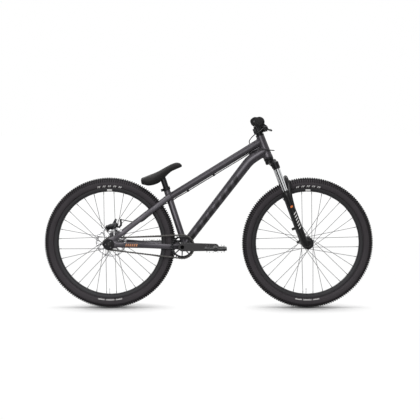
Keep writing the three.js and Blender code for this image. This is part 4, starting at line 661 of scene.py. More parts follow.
# Sprockets and freewheel
# A chainring of 30 teeth with eight thin arms, and a cog of 15 teeth screwed with its freewheel to the
# hub. Both are cut from plate, with a round seat for a chain roller between each two teeth.
chain_steel = soft_finish("chain_steel", (0.062, 0.059, 0.056), 0.42, 0.6, grain=1800, relief=0.1, drift=0.3,
    scale=60)
chain_pitch, chain_links, chain_line = 12.7, 82, 50.0
ring_teeth, cog_teeth, ring_arms, roller_seat, tooth_rise = 30, 15, 8, 4.0, 3.0
ring_window_outer, ring_window_inner, arm_half_outer, arm_half_inner = 47.5, 22.5, 2.6, 3.4
crank_centre = Vector(joints["crank_spin"]["pos_m"])
at_cranks = Matrix.Translation(crank_centre)
chain_drop = math.atan2(rear_centre.z - crank_centre.z, crank_centre.x - rear_centre.x)
sprocket_distance = (crank_centre - rear_centre).length / mm


def pitch_radius(teeth):
    return chain_pitch / (2 * math.sin(math.pi / teeth))


def teeth_outline(teeth):
    """Teeth with one at angle 0, and roller seats of a true circle between them."""
    points = []
    for tooth in range(teeth):
        seat_angle = math.tau * (tooth + 0.5) / teeth
        centre = Vector((math.cos(seat_angle), math.sin(seat_angle))) * pitch_radius(teeth)
        for step in range(7):
            turn = seat_angle + math.pi + math.radians(66) * (1 - step / 3)
            points.append(on_circle(roller_seat, turn, *centre))
        for share in (-0.10, 0.10):
            points.append(on_circle(pitch_radius(teeth) + tooth_rise, math.tau * (tooth + 1 + share) / teeth))
    return points


def ring_outlines():
    outlines = [teeth_outline(ring_teeth), circle(15.2, 40)]
    turn = math.tau / ring_arms
    for index in range(ring_arms):
        start, stop = index * turn, (index + 1) * turn
        outer, inner = arm_half_outer / ring_window_outer, arm_half_inner / ring_window_inner
        outlines.append(arc(ring_window_outer, start + outer, stop - outer, 10)
            + arc(ring_window_inner, stop - inner, start + inner, 4))
    return outlines


in_chain_frame, half_turn = Matrix.Rotation(chain_drop, 4, "Y"), Matrix.Rotation(math.pi, 4, "Y")
put(plate("chainring_plate", ring_outlines(), *spread(-1, chain_line - 1.4, chain_line + 1.4), 0.45,
    black_alloy, at_cranks @ in_chain_frame), "cranks", "chainring")
put(plate("cog_plate", [teeth_outline(cog_teeth), circle(17.6, 40)],
    *spread(-1, chain_line - 1.4, chain_line + 1.4), 0.45, chain_steel, at_rear @ in_chain_frame @ half_turn),
    "cog", "rear_cog")
freewheel_profile = [(17.6, -46.8), (24.6, -46.8), (25.2, -47.6), (25.2, -52.8), (24, -54), (21.6, -54),
    (21.2, -53.2), (19.6, -53.2), (19.2, -54.4), (17.6, -54.4)]
put(turned("freewheel_body", freewheel_profile, chain_steel, at_rear, 64), "cog")

# Chain
# Half-inch bushed roller chain: outer and inner links take turns, with a pin and a roller at each joint.
# Steel plates in a waisted shape, pressed on their pins, a little oily.
link_half = chain_pitch / 2


def band(bore, radius, low, high, edge=0.0, rise=None):
    """The profile of a ring or rod from one Y to a higher one, with its outer corners broken."""
    rise = edge if rise is None else rise
    corners = [(radius - edge, low), (radius, low + rise), (radius, high - rise), (radius - edge, high)]
    return [(bore, low), *(corners if edge else [(radius, low), (radius, high)]), (bore, high)]


def link_outline(radius, waist):
    right = arc(radius, -math.radians(105), math.radians(105), 10, link_half, 0)
    left = arc(radius, math.radians(75), math.radians(285), 10, -link_half, 0)
    return right[:-1] + [(0.0, waist)] + left[1:-1] + [(0.0, -waist)]


def side_plates(name, radius, waist, inner, outer):
    pair = []
    for side in (-1, 1):
        low, high = spread(side, inner, outer)
        pair.append(plate(f"{name}_{low:.0f}", [link_outline(radius, waist)], low, high, 0.2, chain_steel))
    return pair


outer_link = side_plates("outer_plate", 4.1, 2.9, 3.2, 4.1)
inner_link = side_plates("inner_plate", 4.0, 2.8, 1.85, 2.95)
for x in (-link_half, link_half):
    outer_link.append(turned("link_pin", band(0, 1.8, -4.6, 4.6, 0.2), chain_steel, moved(x, 0, 0), 12))
    inner_link.append(turned("link_roller", band(1.9, 3.85, -1.7, 1.7), chain_steel, moved(x, 0, 0), 16))
outer_link = joined("outer_link", outer_link)
inner_link = joined("inner_link", inner_link)


def chain_tree():
    """Outer and inner links in turn along a closed path, each turned to the path's direction."""
    tree, given = node_tree("links_along_path", [("Links", "Int"), ("Outer", "Object"), ("Inner", "Object")])
    path = add_node(tree, "GeometryNodeMeshToCurve", {"Mesh": given["Geometry"]}).outputs[0]
    spaced = add_node(tree, "GeometryNodeResampleCurve", {"Curve": path, "Count": given["Links"]})
    points = add_node(tree, "GeometryNodeCurveToPoints", {"Curve": spaced.outputs[0]},
        mode="EVALUATED").outputs
    facing = add_node(tree, "FunctionNodeAlignRotationToVector", {"Vector": points["Tangent"]}, axis="X",
        pivot_axis="Y").outputs[0]
    index = add_node(tree, "GeometryNodeInputIndex").outputs[0]
    odd = worked_out(tree, "MODULO", index, 2.0)
    even = worked_out(tree, "SUBTRACT", 1.0, odd)
    rows = add_node(tree, "GeometryNodeJoinGeometry")
    for label, chosen in (("Outer", even), ("Inner", odd)):
        link = add_node(tree, "GeometryNodeObjectInfo", {"Object": given[label]}).outputs["Geometry"]
        placed = add_node(tree, "GeometryNodeInstanceOnPoints", {"Points": points["Points"],
            "Selection": chosen, "Instance": link, "Rotation": facing})
        tree.links.new(placed.outputs[0], rows.inputs[0])
    end_tree(tree, given, rows.outputs[0])
    return tree


def chain_path():
    """The pitch line round both sprockets, from the front of the chainring, with the rear axle at 0."""
    large, small = pitch_radius(ring_teeth), pitch_radius(cog_teeth)
    upper = math.pi / 2 + math.asin((large - small) / sprocket_distance)
    outline = arc(large, 0, upper, 40, sprocket_distance, 0)
    outline += arc(small, upper, math.tau - upper, 80)
    outline += arc(large, -upper, 0, 40, sprocket_distance, 0)[:-1]
    return [(x, -chain_line, z) for x, z in outline]


loop_points = chain_path()
loop_mesh = bpy.data.meshes.new("chain_links")
loop_mesh.from_pydata([Vector(point) * mm for point in loop_points], [(index, (index + 1) % len(loop_points))
    for index in range(len(loop_points))], [])
chain = bpy.data.objects.new("chain_links", loop_mesh)
scene.collection.objects.link(chain)
grown(chain, chain_tree(), chain_steel, Links=chain_links, Outer=outer_link, Inner=inner_link)
for pattern in (outer_link, inner_link):
    bpy.data.objects.remove(pattern)
chain.data.transform(at_rear @ in_chain_frame)
chain.data.shade_smooth()
chain.data.set_sharp_from_angle(angle=math.radians(35))
put(chain, "frame", "chain")


# Frame tubes
# Butted steel tubes in satin grey paint: a tapered head tube, a bent down tube, a straight top tube and
# seat tube, the threaded shell, and a small plate in the corner behind the head tube. The top tube's paint is
# a darker, duller copy, painted shade. A welded bead with its ripples lies round each joint.
frame_paint = soft_finish("frame_paint", (0.066, 0.0615, 0.07), 0.4, 0.5, grain=2400, relief=0.07, drift=0.06,
    coat=0.05)
head_tilt, seat_tilt = math.radians(20.8), math.radians(18)
steer_origin = Vector(joints["steering"]["pos_m"])
steering_frame = Matrix.Translation(steer_origin) @ Matrix.Rotation(-head_tilt, 4, "Y")
seat_tube_lead = 12.0
seat_origin = crank_centre + Vector((seat_tube_lead / math.cos(seat_tilt), 0, 0)) * mm
seat_frame = Matrix.Translation(seat_origin) @ Matrix.Rotation(-seat_tilt, 4, "Y")
across_bike, ahead = Vector((0, 1, 0)), Vector((1, 0, 0))
steer_ahead = steering_frame.to_3x3() @ ahead


def on_steering(along, forward=0.0, y=0.0):
    return (steering_frame @ (Vector((forward, y, along)) * mm)) / mm


def on_seat(along, forward=0.0, y=0.0):
    return (seat_frame @ (Vector((forward, y, along)) * mm)) / mm


def blended(first, second, share):
    return first + (second - first) * share


def smooth_stations(stations, count):
    """More stations along a rounded line through the given ones."""
    knots = [0.0]
    for before, after in zip(stations, stations[1:]):
        knots.append(knots[-1] + (after[0] - before[0]).length ** 0.5)
    rows = [Vector((*at, wide, tall)) for at, wide, tall in stations]
    result = []
    for step in range(count + 1):
        here = knots[-1] * step / count
        spot = min(max(next((i for i, knot in enumerate(knots) if knot > here), len(knots) - 1) - 1, 0),
            len(rows) - 2)
        gap = knots[spot + 1] - knots[spot]
        share = (here - knots[spot]) / gap
        slopes = []
        for place in (spot, spot + 1):
            low, high = max(place - 1, 0), min(place + 1, len(rows) - 1)
            slopes.append((rows[high] - rows[low]) / (knots[high] - knots[low]) * gap)
        a, b = share * share, share * share * share
        value = (rows[spot] * (2 * b - 3 * a + 1) + slopes[0] * (b - 2 * a + share)
                 + rows[spot + 1] * (3 * a - 2 * b) + slopes[1] * (b - a))
        result.append((Vector(value[:3]), value[3], value[4]))
    return result


def section(at, along, across, wide, tall, sides, square=1.0):
    side = (across - along * across.dot(along)).normalized()
    up = along.cross(side)
    ring = []
    for step in range(sides):
        turn = math.tau * step / sides
        c, s = math.cos(turn), math.sin(turn)
        c, s = math.copysign(abs(c) ** square, c), math.copysign(abs(s) ** square, s)
        ring.append(at + side * c * wide / 2 + up * s * tall / 2)
    return ring


def sweep(stations, sides=48, across=across_bike, square=1.0):
    """Points and faces of a tube through stations of (place, width, height)."""
    points = []
    last = len(stations) - 1
    for index, (at, wide, tall) in enumerate(stations):
        before, after = stations[max(index - 1, 0)][0], stations[min(index + 1, last)][0]
        points += section(at, (after - before).normalized(), across, wide, tall, sides, square)
    return points, skin_faces(len(stations), sides, False, True)


def swept(name, stations, material, sides=48, across=across_bike, square=1.0, sharp=40):
    return mesh_piece(name, *sweep(stations, sides, across, square), material, sharp=sharp)


def surface(piece):
    return BVHTree.FromPolygons([vertex.co for vertex in piece.data.vertices],
        [tuple(face.vertices) for face in piece.data.polygons])


def weld(name, tube_at, tube_to, wide, tall, target, radius=2.3):
    """A rippled bead where a tube that runs from one point to another meets the piece it is welded to."""
    along = (tube_to - tube_at).normalized()
    ring = []
    for point in section(tube_at, along, across_bike, wide, tall, 120):
        hit = target.ray_cast(point * mm, along, 0.4)
        if hit[0] is not None:
            ring.append((hit[0] / mm, hit[1]))
    points, count, sides, run, ripple_pitch, ripple_share = [], len(ring), 8, 0.0, 3.4, 0.16
    for index, (here, normal) in enumerate(ring):
        before, after = ring[index - 1][0], ring[(index + 1) % count][0]
        tangent = (after - before).normalized()
        run += (after - here).length
        bulge = radius * (1 + ripple_share * math.sin(math.tau * run / ripple_pitch))
        side = tangent.cross(normal).normalized()
        for step in range(sides):
            turn = math.tau * step / sides
            points.append(here + (side * math.cos(turn) + normal * math.sin(turn)) * bulge)
    put(mesh_piece(name, points, skin_faces(count, sides, True, True), frame_paint, sharp=60), "frame")


head_low, head_high = 486.0, 607.5
head_profile = [(17.5, head_low), (24.6, head_low), (25.0, head_low + 0.6), (25.0, head_low + 9),
    (23.6, head_low + 13), (21.7, head_high - 12), (21.5, head_high - 9), (21.5, head_high - 0.6),
    (21.1, head_high), (17.5, head_high)]
head_tube = turned("head_tube_steel", head_profile, frame_paint, steering_frame @ upright, 80, 40)
put(head_tube, "frame", "head_tube")
seat_tube_length, seat_tube_radius = 318.0, 17.0
seat_tube = turned("seat_tube_steel", [(15.2, 8), (16.9, 8), (16.9, seat_tube_length - 0.5),
    (16.5, seat_tube_length), (15.2, seat_tube_length)], frame_paint, seat_frame @ upright, 64, 40)
put(seat_tube, "frame", "seat_tube")
shell = turned("bottom_bracket_steel", band(13, 21, -36.5, 36.5, 0.8), frame_paint, at_cranks, 64)
put(shell, "frame", "bottom_bracket_shell")

top_seat_join, top_head_join = 264.0, 579.5
top_low, top_high = on_seat(top_seat_join), on_steering(top_head_join)


def top_tube_tall(share):
    return 36.0 + 4.0 * share


def top_tube_station(share):
    return blended(top_low, top_high, share), top_tube_tall(share) * 0.94, top_tube_tall(share)


# Painted shade: the top tube has a darker, duller copy of the frame paint, damping the lamp's highlight on
# it.
top_tube_shaded_paint = soft_finish("top_tube_shaded_paint", (0.057, 0.053, 0.06), 0.5, 0.45, grain=2400, relief=0.07,
    drift=0.06, coat=0.03)
put(swept("top_tube_steel", [top_tube_station(share / 12) for share in range(13)], top_tube_shaded_paint), "frame",
    "top_tube")
down_foot = crank_centre / mm + Vector((0, 0, -8))
down_top = on_steering(528.0)
bend_reach, bend_half, bend_slope = 95, 30, math.radians(33)
down_corner = down_top - Vector((math.cos(bend_slope), 0, math.sin(bend_slope))) * bend_reach


def down_tube_stations():
    start = blended(down_corner, down_foot, bend_half / (down_corner - down_foot).length)
    end = blended(down_corner, down_top, bend_half / bend_reach)
    places = [blended(down_foot, start, step / 8) for step in range(8)]
    for step in range(7):
        share = step / 6
        places.append(start * (1 - share) ** 2 + down_corner * 2 * share * (1 - share) + end * share ** 2)
    places.append(down_top)
    whole = (down_top - down_foot).length
    talls = [41.5 + 13.0 * (place - down_foot).length / whole for place in places]
    return [(place, tall * 0.92, tall) for place, tall in zip(places, talls)]


down_tube = swept("down_tube_steel", down_tube_stations(), frame_paint)
put(down_tube, "frame", "down_tube")
gusset_edge = [(209, 789), (236, 806), (264, 825), (276, 833), (276, 855), (266, 849), (236, 829), (207, 809)]
put(plate("head_gusset", [gusset_edge], -3.0, 3.0, 0.8, frame_paint), "frame")

# Stays and dropouts
# Two bent seatstays and two bent chainstays end in forged dropouts in the frame's paint, with rearward
# slots, each faced by a black disc round the axle nut. A short bridge joins the seatstays. The left
# dropout has the tab that carries the brake.
axle_rear = rear_centre / mm
dropout_middle = 70.8
stay_seat_top = on_seat(top_seat_join + 6.5, seat_tube_radius / 2)
stay_seat_foot = axle_rear + Vector((34, 0, 30.7))
chain_foot = blended(axle_rear, crank_centre / mm, 34.0 / sprocket_distance)
chainstay_end = crank_centre / mm + Vector((0, 0, -4))
seatstay_shares = [(0, 70.8), (0.14, 70.5), (0.45, 44), (0.72, 40), (0.86, 32.65), (1, 25.3)]
chainstay_shares = [(0, 70.8), (0.12, 70.5), (0.42, 44), (0.6, 37.3), (0.8, 37), (1, 25.5)]


def stay_stations(foot, top, table, wide, low_tall, high_tall, side):
    stations = []
    for share, out in table:
        place = blended(foot, top, share)
        stations.append((Vector((place.x, side * out, place.z)), wide,
            low_tall + (high_tall - low_tall) * share))
    return smooth_stations(stations, 36)


for name, side in both_sides:
    put(swept(f"seatstay_{name}_steel", stay_stations(stay_seat_foot, stay_seat_top, seatstay_shares, 16, 24,
        30, side), frame_paint, 40, square=0.62), "frame", f"seatstay_{name}")
    put(swept(f"chainstay_{name}_steel", stay_stations(chain_foot, chainstay_end, chainstay_shares, 14, 28,
        28, side), frame_paint, 40, square=0.62), "frame", f"chainstay_{name}")

dropout_low, dropout_high, dropout_radius, slot_half = 67.8, 73.8, 28.0, 5.3


def lobed(radius, lobe, reach, angle):
    """The outline of a round that tapers to a smaller one, at an angle from the axle."""
    lean = math.acos((radius - lobe) / reach)
    points = arc(radius, lean, math.tau - lean, 30) + arc(lobe, -lean, lean, 12, reach, 0)
    turn = Matrix.Rotation(angle, 2)
    return [tuple(turn @ Vector(point)) for point in points]


def outline_of(shapes):
    """The outer line round the axle of several overlapping outlines, each seen whole from the axle."""
    reach = []
    for step in range(180):
        angle = math.tau * (step + 0.5) / 180
        ray = Vector((math.cos(angle), math.sin(angle)))
        far = 0.0
        for shape in shapes:
            for index, corner in enumerate(shape):
                a, b = Vector(shape[index - 1]), Vector(corner)
                edge = b - a
                cross = ray.x * edge.y - ray.y * edge.x
                if abs(cross) < 1e-9:
                    continue
                t = (a.x * edge.y - a.y * edge.x) / cross
                u = (a.x * ray.y - a.y * ray.x) / cross
                if t > 0 and -1e-6 <= u <= 1 + 1e-6:
                    far = max(far, t)
        reach.append((far * ray.x, far * ray.y))
    return reach


def slotted(points):
    """The outline with the axle slot cut in from behind."""
    kept = [(x, z) for x, z in points if x > 0 or abs(z) > slot_half + 0.4]
    above = [x < 0 < z for x, z in kept]
    start = next(spot for spot, (x, z) in enumerate(kept) if above[spot - 1] and x < 0 > z)
    back = math.sqrt(dropout_radius ** 2 - slot_half ** 2)
    notch = [(-back, slot_half)] + arc(slot_half, math.pi / 2, -math.pi / 2, 10) + [(-back, -slot_half)]
    return kept[start:] + kept[:start] + notch


seat_direction = math.atan2(30.7, 34)
chain_direction = -chain_drop
lobes = [lobed(dropout_radius, 10, 58, direction) for direction in (seat_direction, chain_direction)]
tab = [(-8, 10), (-8, 44), (2, 48), (18, 54), (36, 62), (48, 66), (54, 58), (46, 44), (20, 10)]
put(plate("dropout_right_forging", [slotted(outline_of(lobes))], -dropout_high, -dropout_low, 0.8,
    frame_paint, at_rear), "frame", "dropout_right")
put(plate("dropout_left_forging", [slotted(outline_of(lobes + [tab]))], dropout_low, dropout_high, 0.8,
    frame_paint, at_rear), "frame", "dropout_left")
disc_profile = [(10.4, 73.6), (27.4, 73.6), (27.9, 74.2), (27.9, 75.3), (27.2, 76), (23.6, 76), (22.8, 75.1),
    (13, 75.1), (12.2, 75.8), (10.4, 75.8)]
disc_screw = [(0, 74.8), (3.4, 74.8), (3.4, 76.6), (2.9, 77), (1.7, 77), (1.5, 76), (0, 76)]
for name, side in both_sides:
    facing = at_rear @ Matrix.Scale(side, 4, (0, 1, 0))
    put(turned(f"dropout_{name}_disc", disc_profile, black_alloy, facing, 64, 30), "frame")
    for degrees in (62, 180, 298):
        turn = math.radians(degrees)
        put(turned(f"dropout_{name}_screw_{degrees}", disc_screw, bright_steel,
            facing @ moved(17.6 * math.cos(turn), 0, 17.6 * math.sin(turn)), 20), "frame")

bridge_reach = 355.5
stay_line = [blended(stay_seat_foot, stay_seat_top, step / 400) for step in range(400)]
bridge_at = next(place for place in stay_line if (place - axle_rear).length > bridge_reach)
put(swept("seatstay_bridge_steel", [(bridge_at + Vector((0, y, 0)), 14, 14) for y in (-34, 34)], frame_paint,
    24, ahead), "frame", "seatstay_bridge")

# Chain tensioners
# A screw with a square cap in the end of each slot pulls the axle back.
for name, side in both_sides:
    put(plate(f"tensioner_{name}_cap", [[(-33.6, -5), (-32.8, -6), (-28.9, -6), (-28.3, -5.2), (-28.3, 5.2),
        (-28.9, 6), (-32.8, 6), (-33.6, 5)]], *spread(side, 64.8, 76.8), 0.5, black_alloy, at_rear), "frame",
        f"chain_tensioner_{name}", slot="chain_steel")
    screw_place = at_rear @ moved(0, side * dropout_middle, 0) @ to_centre
    put(turned(f"tensioner_{name}_screw", [(0, 5.8), (1.9, 5.8), (1.9, 40.6), (4.6, 40.8), (4.8, 45.4),
        (4.2, 46), (0, 46)], black_alloy, screw_place, 16), "frame", slot="chain_steel")

# Axles
# The front axle is a bolt with its head in the lug. The rear one is threaded, with a hexagon nut and a
# washer outside each dropout.
bolt_half = [(0, -71), (4, -71), (4.4, -69.5), (8.4, -69.5), (9, -69), (9, -66), (4.9, -66)]
put(turned("front_axle_bolt", bolt_half + flipped(bolt_half[::-1]), black_alloy, at_front, 48), "front_wheel",
    "front_axle")
put(turned("rear_axle_rod", band(0, 4.9, -84, 84, 0.7, 1), chain_steel, at_rear, 32), "rear_wheel",
    "rear_axle")
for name, side in both_sides:
    put(plate(f"rear_nut_{name}", [circle(9.2, 6), circle(4.6, 24)], *spread(side, 75.4, 82), 0.5,
        black_alloy, at_rear), "rear_wheel", slot="chain_steel")
    put(turned(f"rear_washer_{name}", band(5, 9.6, *spread(side, 74.1, 75.4)), chain_steel, at_rear, 40),
        "rear_wheel")

# Marks and welds
# A row of plain blocks is printed on the down tube and one of plain bars on the right chainstay. The welded
# beads lie round the ends of the tubes.
def upward(along):
    """The direction in the middle plane that is square to a tube and points up."""
    return Vector((-along.z, 0, along.x))


def tube_mark(target, corner, along, length, up, height):
    """A block on the right side of a tube, from a corner, with one edge along it and one up it."""
    def place(u, v, level):
        at = corner + along * (length * u) + up * (height * v)
        hit = target.ray_cast(Vector((at.x, -200, at.z)) * mm, across_bike)
        return hit[0] / mm + hit[1] * level
    return thin_shell(place, 3, 6)


down_along = (down_corner - down_foot).normalized()
down_up = upward(down_along)
down_skin = surface(down_tube)
mark_grey = soft_finish("mark_grey", (0.027, 0.0255, 0.028), 0.42, 0.4, grain=2400, relief=0.05)
blocks = [tube_mark(down_skin, down_foot + down_along * (58 + 52.0 * step) - down_up * 17, down_along, 30.0,
    down_up + down_along * 0.6, 25) for step in range(8)]
put(mesh_piece("down_tube_blocks", *gathered(blocks), mark_grey), "frame")
stay_along = (chainstay_end - chain_foot).normalized()
right_skin = surface(bpy.data.objects["chainstay_right_steel"])
bars = [tube_mark(right_skin, chain_foot + stay_along * (50 + 10.5 * step) - Vector((0, 0, 5.5)), stay_along,
    5.6, Vector((0.35, 0, 1)), 12.5) for step in range(6)]
mark_copper = soft_finish("mark_copper", (0.62, 0.27, 0.14), 0.5, relief=0.05)
put(mesh_piece("chainstay_bars", *gathered(bars), mark_copper), "frame")

head_skin, seat_skin, shell_skin = surface(head_tube), surface(seat_tube), surface(shell)
weld("weld_top_head", blended(top_low, top_high, 0.8), top_high, 37.6, 40, head_skin)
weld("weld_down_head", down_corner, down_top, 49.8, 54.2, head_skin)
weld("weld_top_seat", blended(top_low, top_high, 0.3), top_low, 33.8, 36, seat_skin)
weld("weld_down_shell", blended(down_foot, down_corner, 0.2), down_foot, 38.2, 41.8, shell_skin)
weld("weld_seat_shell", on_seat(90), on_seat(10), 34, 34, shell_skin)
for name, side in both_sides:
    stay_end = Vector((chainstay_end.x, side * 28, chainstay_end.z))
    weld(f"weld_chainstay_{name}", blended(chain_foot, chainstay_end, 0.75) + Vector((0, side * 36, 0)),
        stay_end, 14, 28, shell_skin, 1.8)


# Headset and fork
# Black cups hold the steerer of a short-travel fork: a forged crown, two chromed stanchions and a one-piece
# casting of both legs with an arch in front of the tyre, axle lugs and two bare posts for a disc brake.
black_paint = soft_finish("black_paint", (0.0085, 0.0085, 0.009), 0.38, 0.1, grain=2200, relief=0.05,
    coat=0.05, shine=0.25)
chrome = soft_finish("chrome", (0.62, 0.63, 0.64), 0.1, 1.0, grain=2500, relief=0.02, drift=0.04)
seal_rubber = soft_finish("seal_rubber", (0.013, 0.013, 0.013), 0.7)
on_steerer = steering_frame @ upright
leg_lead, leg_spacing, axle_lead, leg_radius = 20.0, 64.0, 35.0, 17.9
put(turned("lower_cup_alloy", [(17.2, 472.3), (23, 472.3), (24.4, 473.6), (25, 476), (25, 485.7),
    (17.2, 485.7)], black_alloy, on_steerer, 72), "frame", "headset_lower_cup")
put(turned("upper_cup_alloy", [(17.2, 607.8), (22, 607.8), (22, 611.5), (20.6, 613.8), (18.8, 614.3),
    (17.2, 614.3)], black_alloy, on_steerer, 72), "frame", "headset_upper_cup")
put(turned("crown_base", [(0, 453), (20, 453), (22.5, 454), (24, 457), (24, 468), (23, 471.2), (14.3, 471.7),
    (14.3, 657), (12.6, 657.2), (12.6, 603), (0, 603)], black_alloy, on_steerer, 72), "steering",
    "fork_crown")
crown_rows = [(-73, 16, 444, 24, 18), (-64, 15, 445, 36, 24), (-50, 13.5, 450, 40, 22),
    (-34, 12.5, 457, 42, 19), (-16, 12, 462, 43, 17), (0, 12, 462, 43, 17.5)]
crown_rows += [(-y, x, z, wide, tall) for y, x, z, wide, tall in reversed(crown_rows[:-1])]
put(swept("crown_arms", smooth_stations([(on_steering(z, x, y), wide, tall)
    for y, x, z, wide, tall in crown_rows], 40), black_alloy, 40, steer_ahead, 0.75), "steering")
leg_profile = [(0, -8), (11, -8), (14.5, -6.6), (16.8, -3.5), (17.8, 2), (17.9, 60), (17.6, 130), (17.6, 262),
    (18, 268), (18, 289.5), (17.4, 291), (15.3, 291), (15.3, 69), (0, 69)]
seal_profile = [(15.1, 291.3), (17.7, 291.3), (17.9, 292), (17.9, 295.5), (17.2, 297), (16.6, 300.3),
    (15.3, 300.3)]
lug_profile = [(5.3, 50.4), (21, 50.4), (22, 51.4), (22, 68.8), (20.8, 70), (12.6, 70), (12, 69.4),
    (12, 67.6), (9.8, 67.2), (5.3, 67.2)]
for name, side in both_sides:
    at_leg = steering_frame @ moved(leg_lead, side * leg_spacing, 0) @ upright
    put(turned(f"crown_socket_{name}", [(15.2, 420.2), (17.2, 420.2), (18, 421.2), (18, 455), (16.4, 457),
        (0, 457), (0, 452), (15.2, 452)], black_alloy, at_leg, 56), "steering")
    put(turned(f"stanchion_{name}_tube", band(0, 15, 171, 451.6), chrome, at_leg, 64), "steering",
        f"stanchion_{name}")
    put(turned(f"fork_leg_{name}", leg_profile, black_paint, at_leg, 64), "fork_lowers",
        *(["fork_lowers"] if side < 0 else []))
    put(turned(f"wiper_seal_{name}_ring", seal_profile, seal_rubber, at_leg, 56), "fork_lowers",
        f"wiper_seal_{name}")
    facing = Matrix.Scale(side, 4, (0, 1, 0))
    put(turned(f"fork_lug_{name}", lug_profile, black_paint, steering_frame @ moved(axle_lead, 0, 0) @ facing,
        56), "fork_lowers")
    web_rows = [(44, 26, 24, 22), (30, 27, 28, 22), (14, 28.5, 30, 22), (2, 30, 28, 20)]
    put(swept(f"fork_web_{name}", smooth_stations([(on_steering(z, x, side * 59.8), wide, tall)
        for z, x, tall, wide in web_rows], 12), black_paint, 32), "fork_lowers")
arch_rows = [(206, 29, 64), (282.5, 38.3, 64), (324.8, 48.2, 55), (341.8, 48.5, 46), (358, 48.5, 32)]
arch_half = [on_steering(z, x, -y) for z, x, y in arch_rows]
arch_line = arch_half + [on_steering(358.5, 48.5, 0)]
arch_line += [on_steering(z, x, y) for z, x, y in reversed(arch_rows)]
put(swept("fork_arch", smooth_stations([(at, 18, 18) for at in arch_line], 60), black_paint, 32, steer_ahead,
    0.7), "fork_lowers")
for height in (12, 86):
    post_place = steering_frame @ moved(leg_lead, leg_spacing, height) @ to_centre
    put(turned(f"brake_post_{height:.0f}", [(0, 15.4), (9, 15.4), (7.4, 20), (6.4, 33), (5.8, 33.9),
        (2.7, 33.9), (2.7, 28), (0, 27.5)], black_paint, post_place, 32), "fork_lowers")
mark_orange = soft_finish("mark_orange", (0.75, 0.2, 0.05), 0.5, relief=0.05)


def leg_mark(low, high, turn, wide, slant):
    """A slanted bar round the right leg: its heights, the turn of its middle and its width."""
    def place(u, v, level):
        angle = turn + (v - 0.5) * wide / leg_radius
        along = low + (high - low) * u + slant * (v - 0.5)
        reach = leg_radius - 0.15 + level
        return on_steering(along, leg_lead + reach * math.sin(angle), -leg_spacing - reach * math.cos(angle))
    return thin_shell(place, 1, 8)


bars = [leg_mark(96 + step * 15.5, 101.5 + step * 15.5, 0.3, 15.0, 9.0) for step in range(6)]
put(mesh_piece("fork_leg_bars", *gathered(bars), mark_white), "fork_lowers", slot="black_paint")
put(mesh_piece("fork_leg_spot", *leg_mark(209, 219, 0.05, 13, 3), mark_orange), "fork_lowers")

# Stem, bar and grips
# A short forged stem with a face plate on four bolts holds a riser bar of 740 mm. The grips are ribbed
# rubber with a flange inboard and a closed end.
stem_low, stem_high = 614.8, 657.5
clamp_reach, clamp_height, clamp_inner, clamp_outer = 32.5, 636.0, 16.2, 19.4
bolt_steel = soft_finish("bolt_steel", (0.06, 0.06, 0.065), 0.35, 0.9)
put(turned("stem_clamp_ring", band(14.6, 17.5, stem_low, stem_high, 0.7, 0.8), black_alloy, on_steerer, 64),
    "steering", "stem")
stem_rows = [(-24.5, 636.1, 22, 30), (-14, 636.1, 27, 33), (2, 636.1, 34, 35), (12, 636.1, 40, 36.5),
    (22, 636.1, 49, 40)]
stem_arm = swept("stem_arm", smooth_stations([(on_steering(z, x), wide, tall)
    for x, z, wide, tall in stem_rows], 16), black_alloy, 48, square=0.5)
at_clamp = Matrix.Translation(on_steering(clamp_height, clamp_reach) * mm)
stem_bore = at_clamp @ Matrix.Rotation(-head_tilt, 4, "Y")
put(stem_arm, "steering")


def shell_half(start, stop):
    start, stop = math.radians(start), math.radians(stop)
    return arc(clamp_outer, start, stop, 24) + arc(clamp_inner, stop, start, 24)


put(plate("stem_bar_clamp", [shell_half(91, 269)], -25, 25, 1.0, black_alloy, stem_bore), "steering")
put(plate("face_plate_half", [shell_half(-88, 88)], -25, 25, 1.0, black_alloy, stem_bore), "steering",
    "stem_face_plate")
bolt_head = [(0, 2), (1.6, 2), (2, 4.6), (3, 4.6), (3.5, 4.1), (3.5, 0), (0, 0)]
for y in (-19, 19):
    for z in (-17.4, 17.4):
        head_place = steering_frame @ moved(clamp_reach + 7, y, clamp_height + z) @ to_centre.inverted()
        put(turned(f"stem_bolt_{y}_{z:.0f}", bolt_head, bolt_steel, head_place, 20), "steering")
put(turned("top_cap_alloy", [(0, 657.8), (17, 657.8), (17.2, 658.9), (15.8, 661.9), (14, 662.7), (4.2, 662.7),
    (3.6, 662.1), (3.6, 660.7), (0, 660.7)], black_alloy, on_steerer, 56), "steering", "top_cap")
bar_half_width, bar_rise, bar_back, bar_radius, bar_middle_radius = 370.0, 47.5, 25.0, 11.1, 15.9
bar_shares = [(0, 0, 0), (0.09, 0, 0), (0.14, 0.04, 0.05), (0.19, 0.14, 0.19), (0.34, 0.52, 0.68),
    (0.39, 0.64, 0.79), (0.44, 0.72, 0.83), (1, 1, 1)]


def bar_point(share, side):
    spot = max(next(index for index, row in enumerate(bar_shares) if row[0] >= share), 1)
    low, high = bar_shares[spot - 1], bar_shares[spot]
    part = (share - low[0]) / (high[0] - low[0])
    sweep_back, rise = (low[column] + (high[column] - low[column]) * part for column in (1, 2))
    return on_steering(clamp_height + bar_rise * rise, clamp_reach - bar_back * sweep_back,
        side * share * bar_half_width)


def bar_stations():
    stations = []
    for side in (-1, 1):
        half = []
        for share in (0.09, 0.14, 0.19, 0.34, 0.39, 0.44, 0.7, 0.985):
            thinning = min(max((share - 0.09) / 0.1, 0), 1)
            wide = 2 * (bar_middle_radius + (bar_radius - bar_middle_radius) * thinning)
            half.append((bar_point(share, side), wide, wide))
        stations += reversed(half) if side < 0 else half
    return smooth_stations(stations, 120)


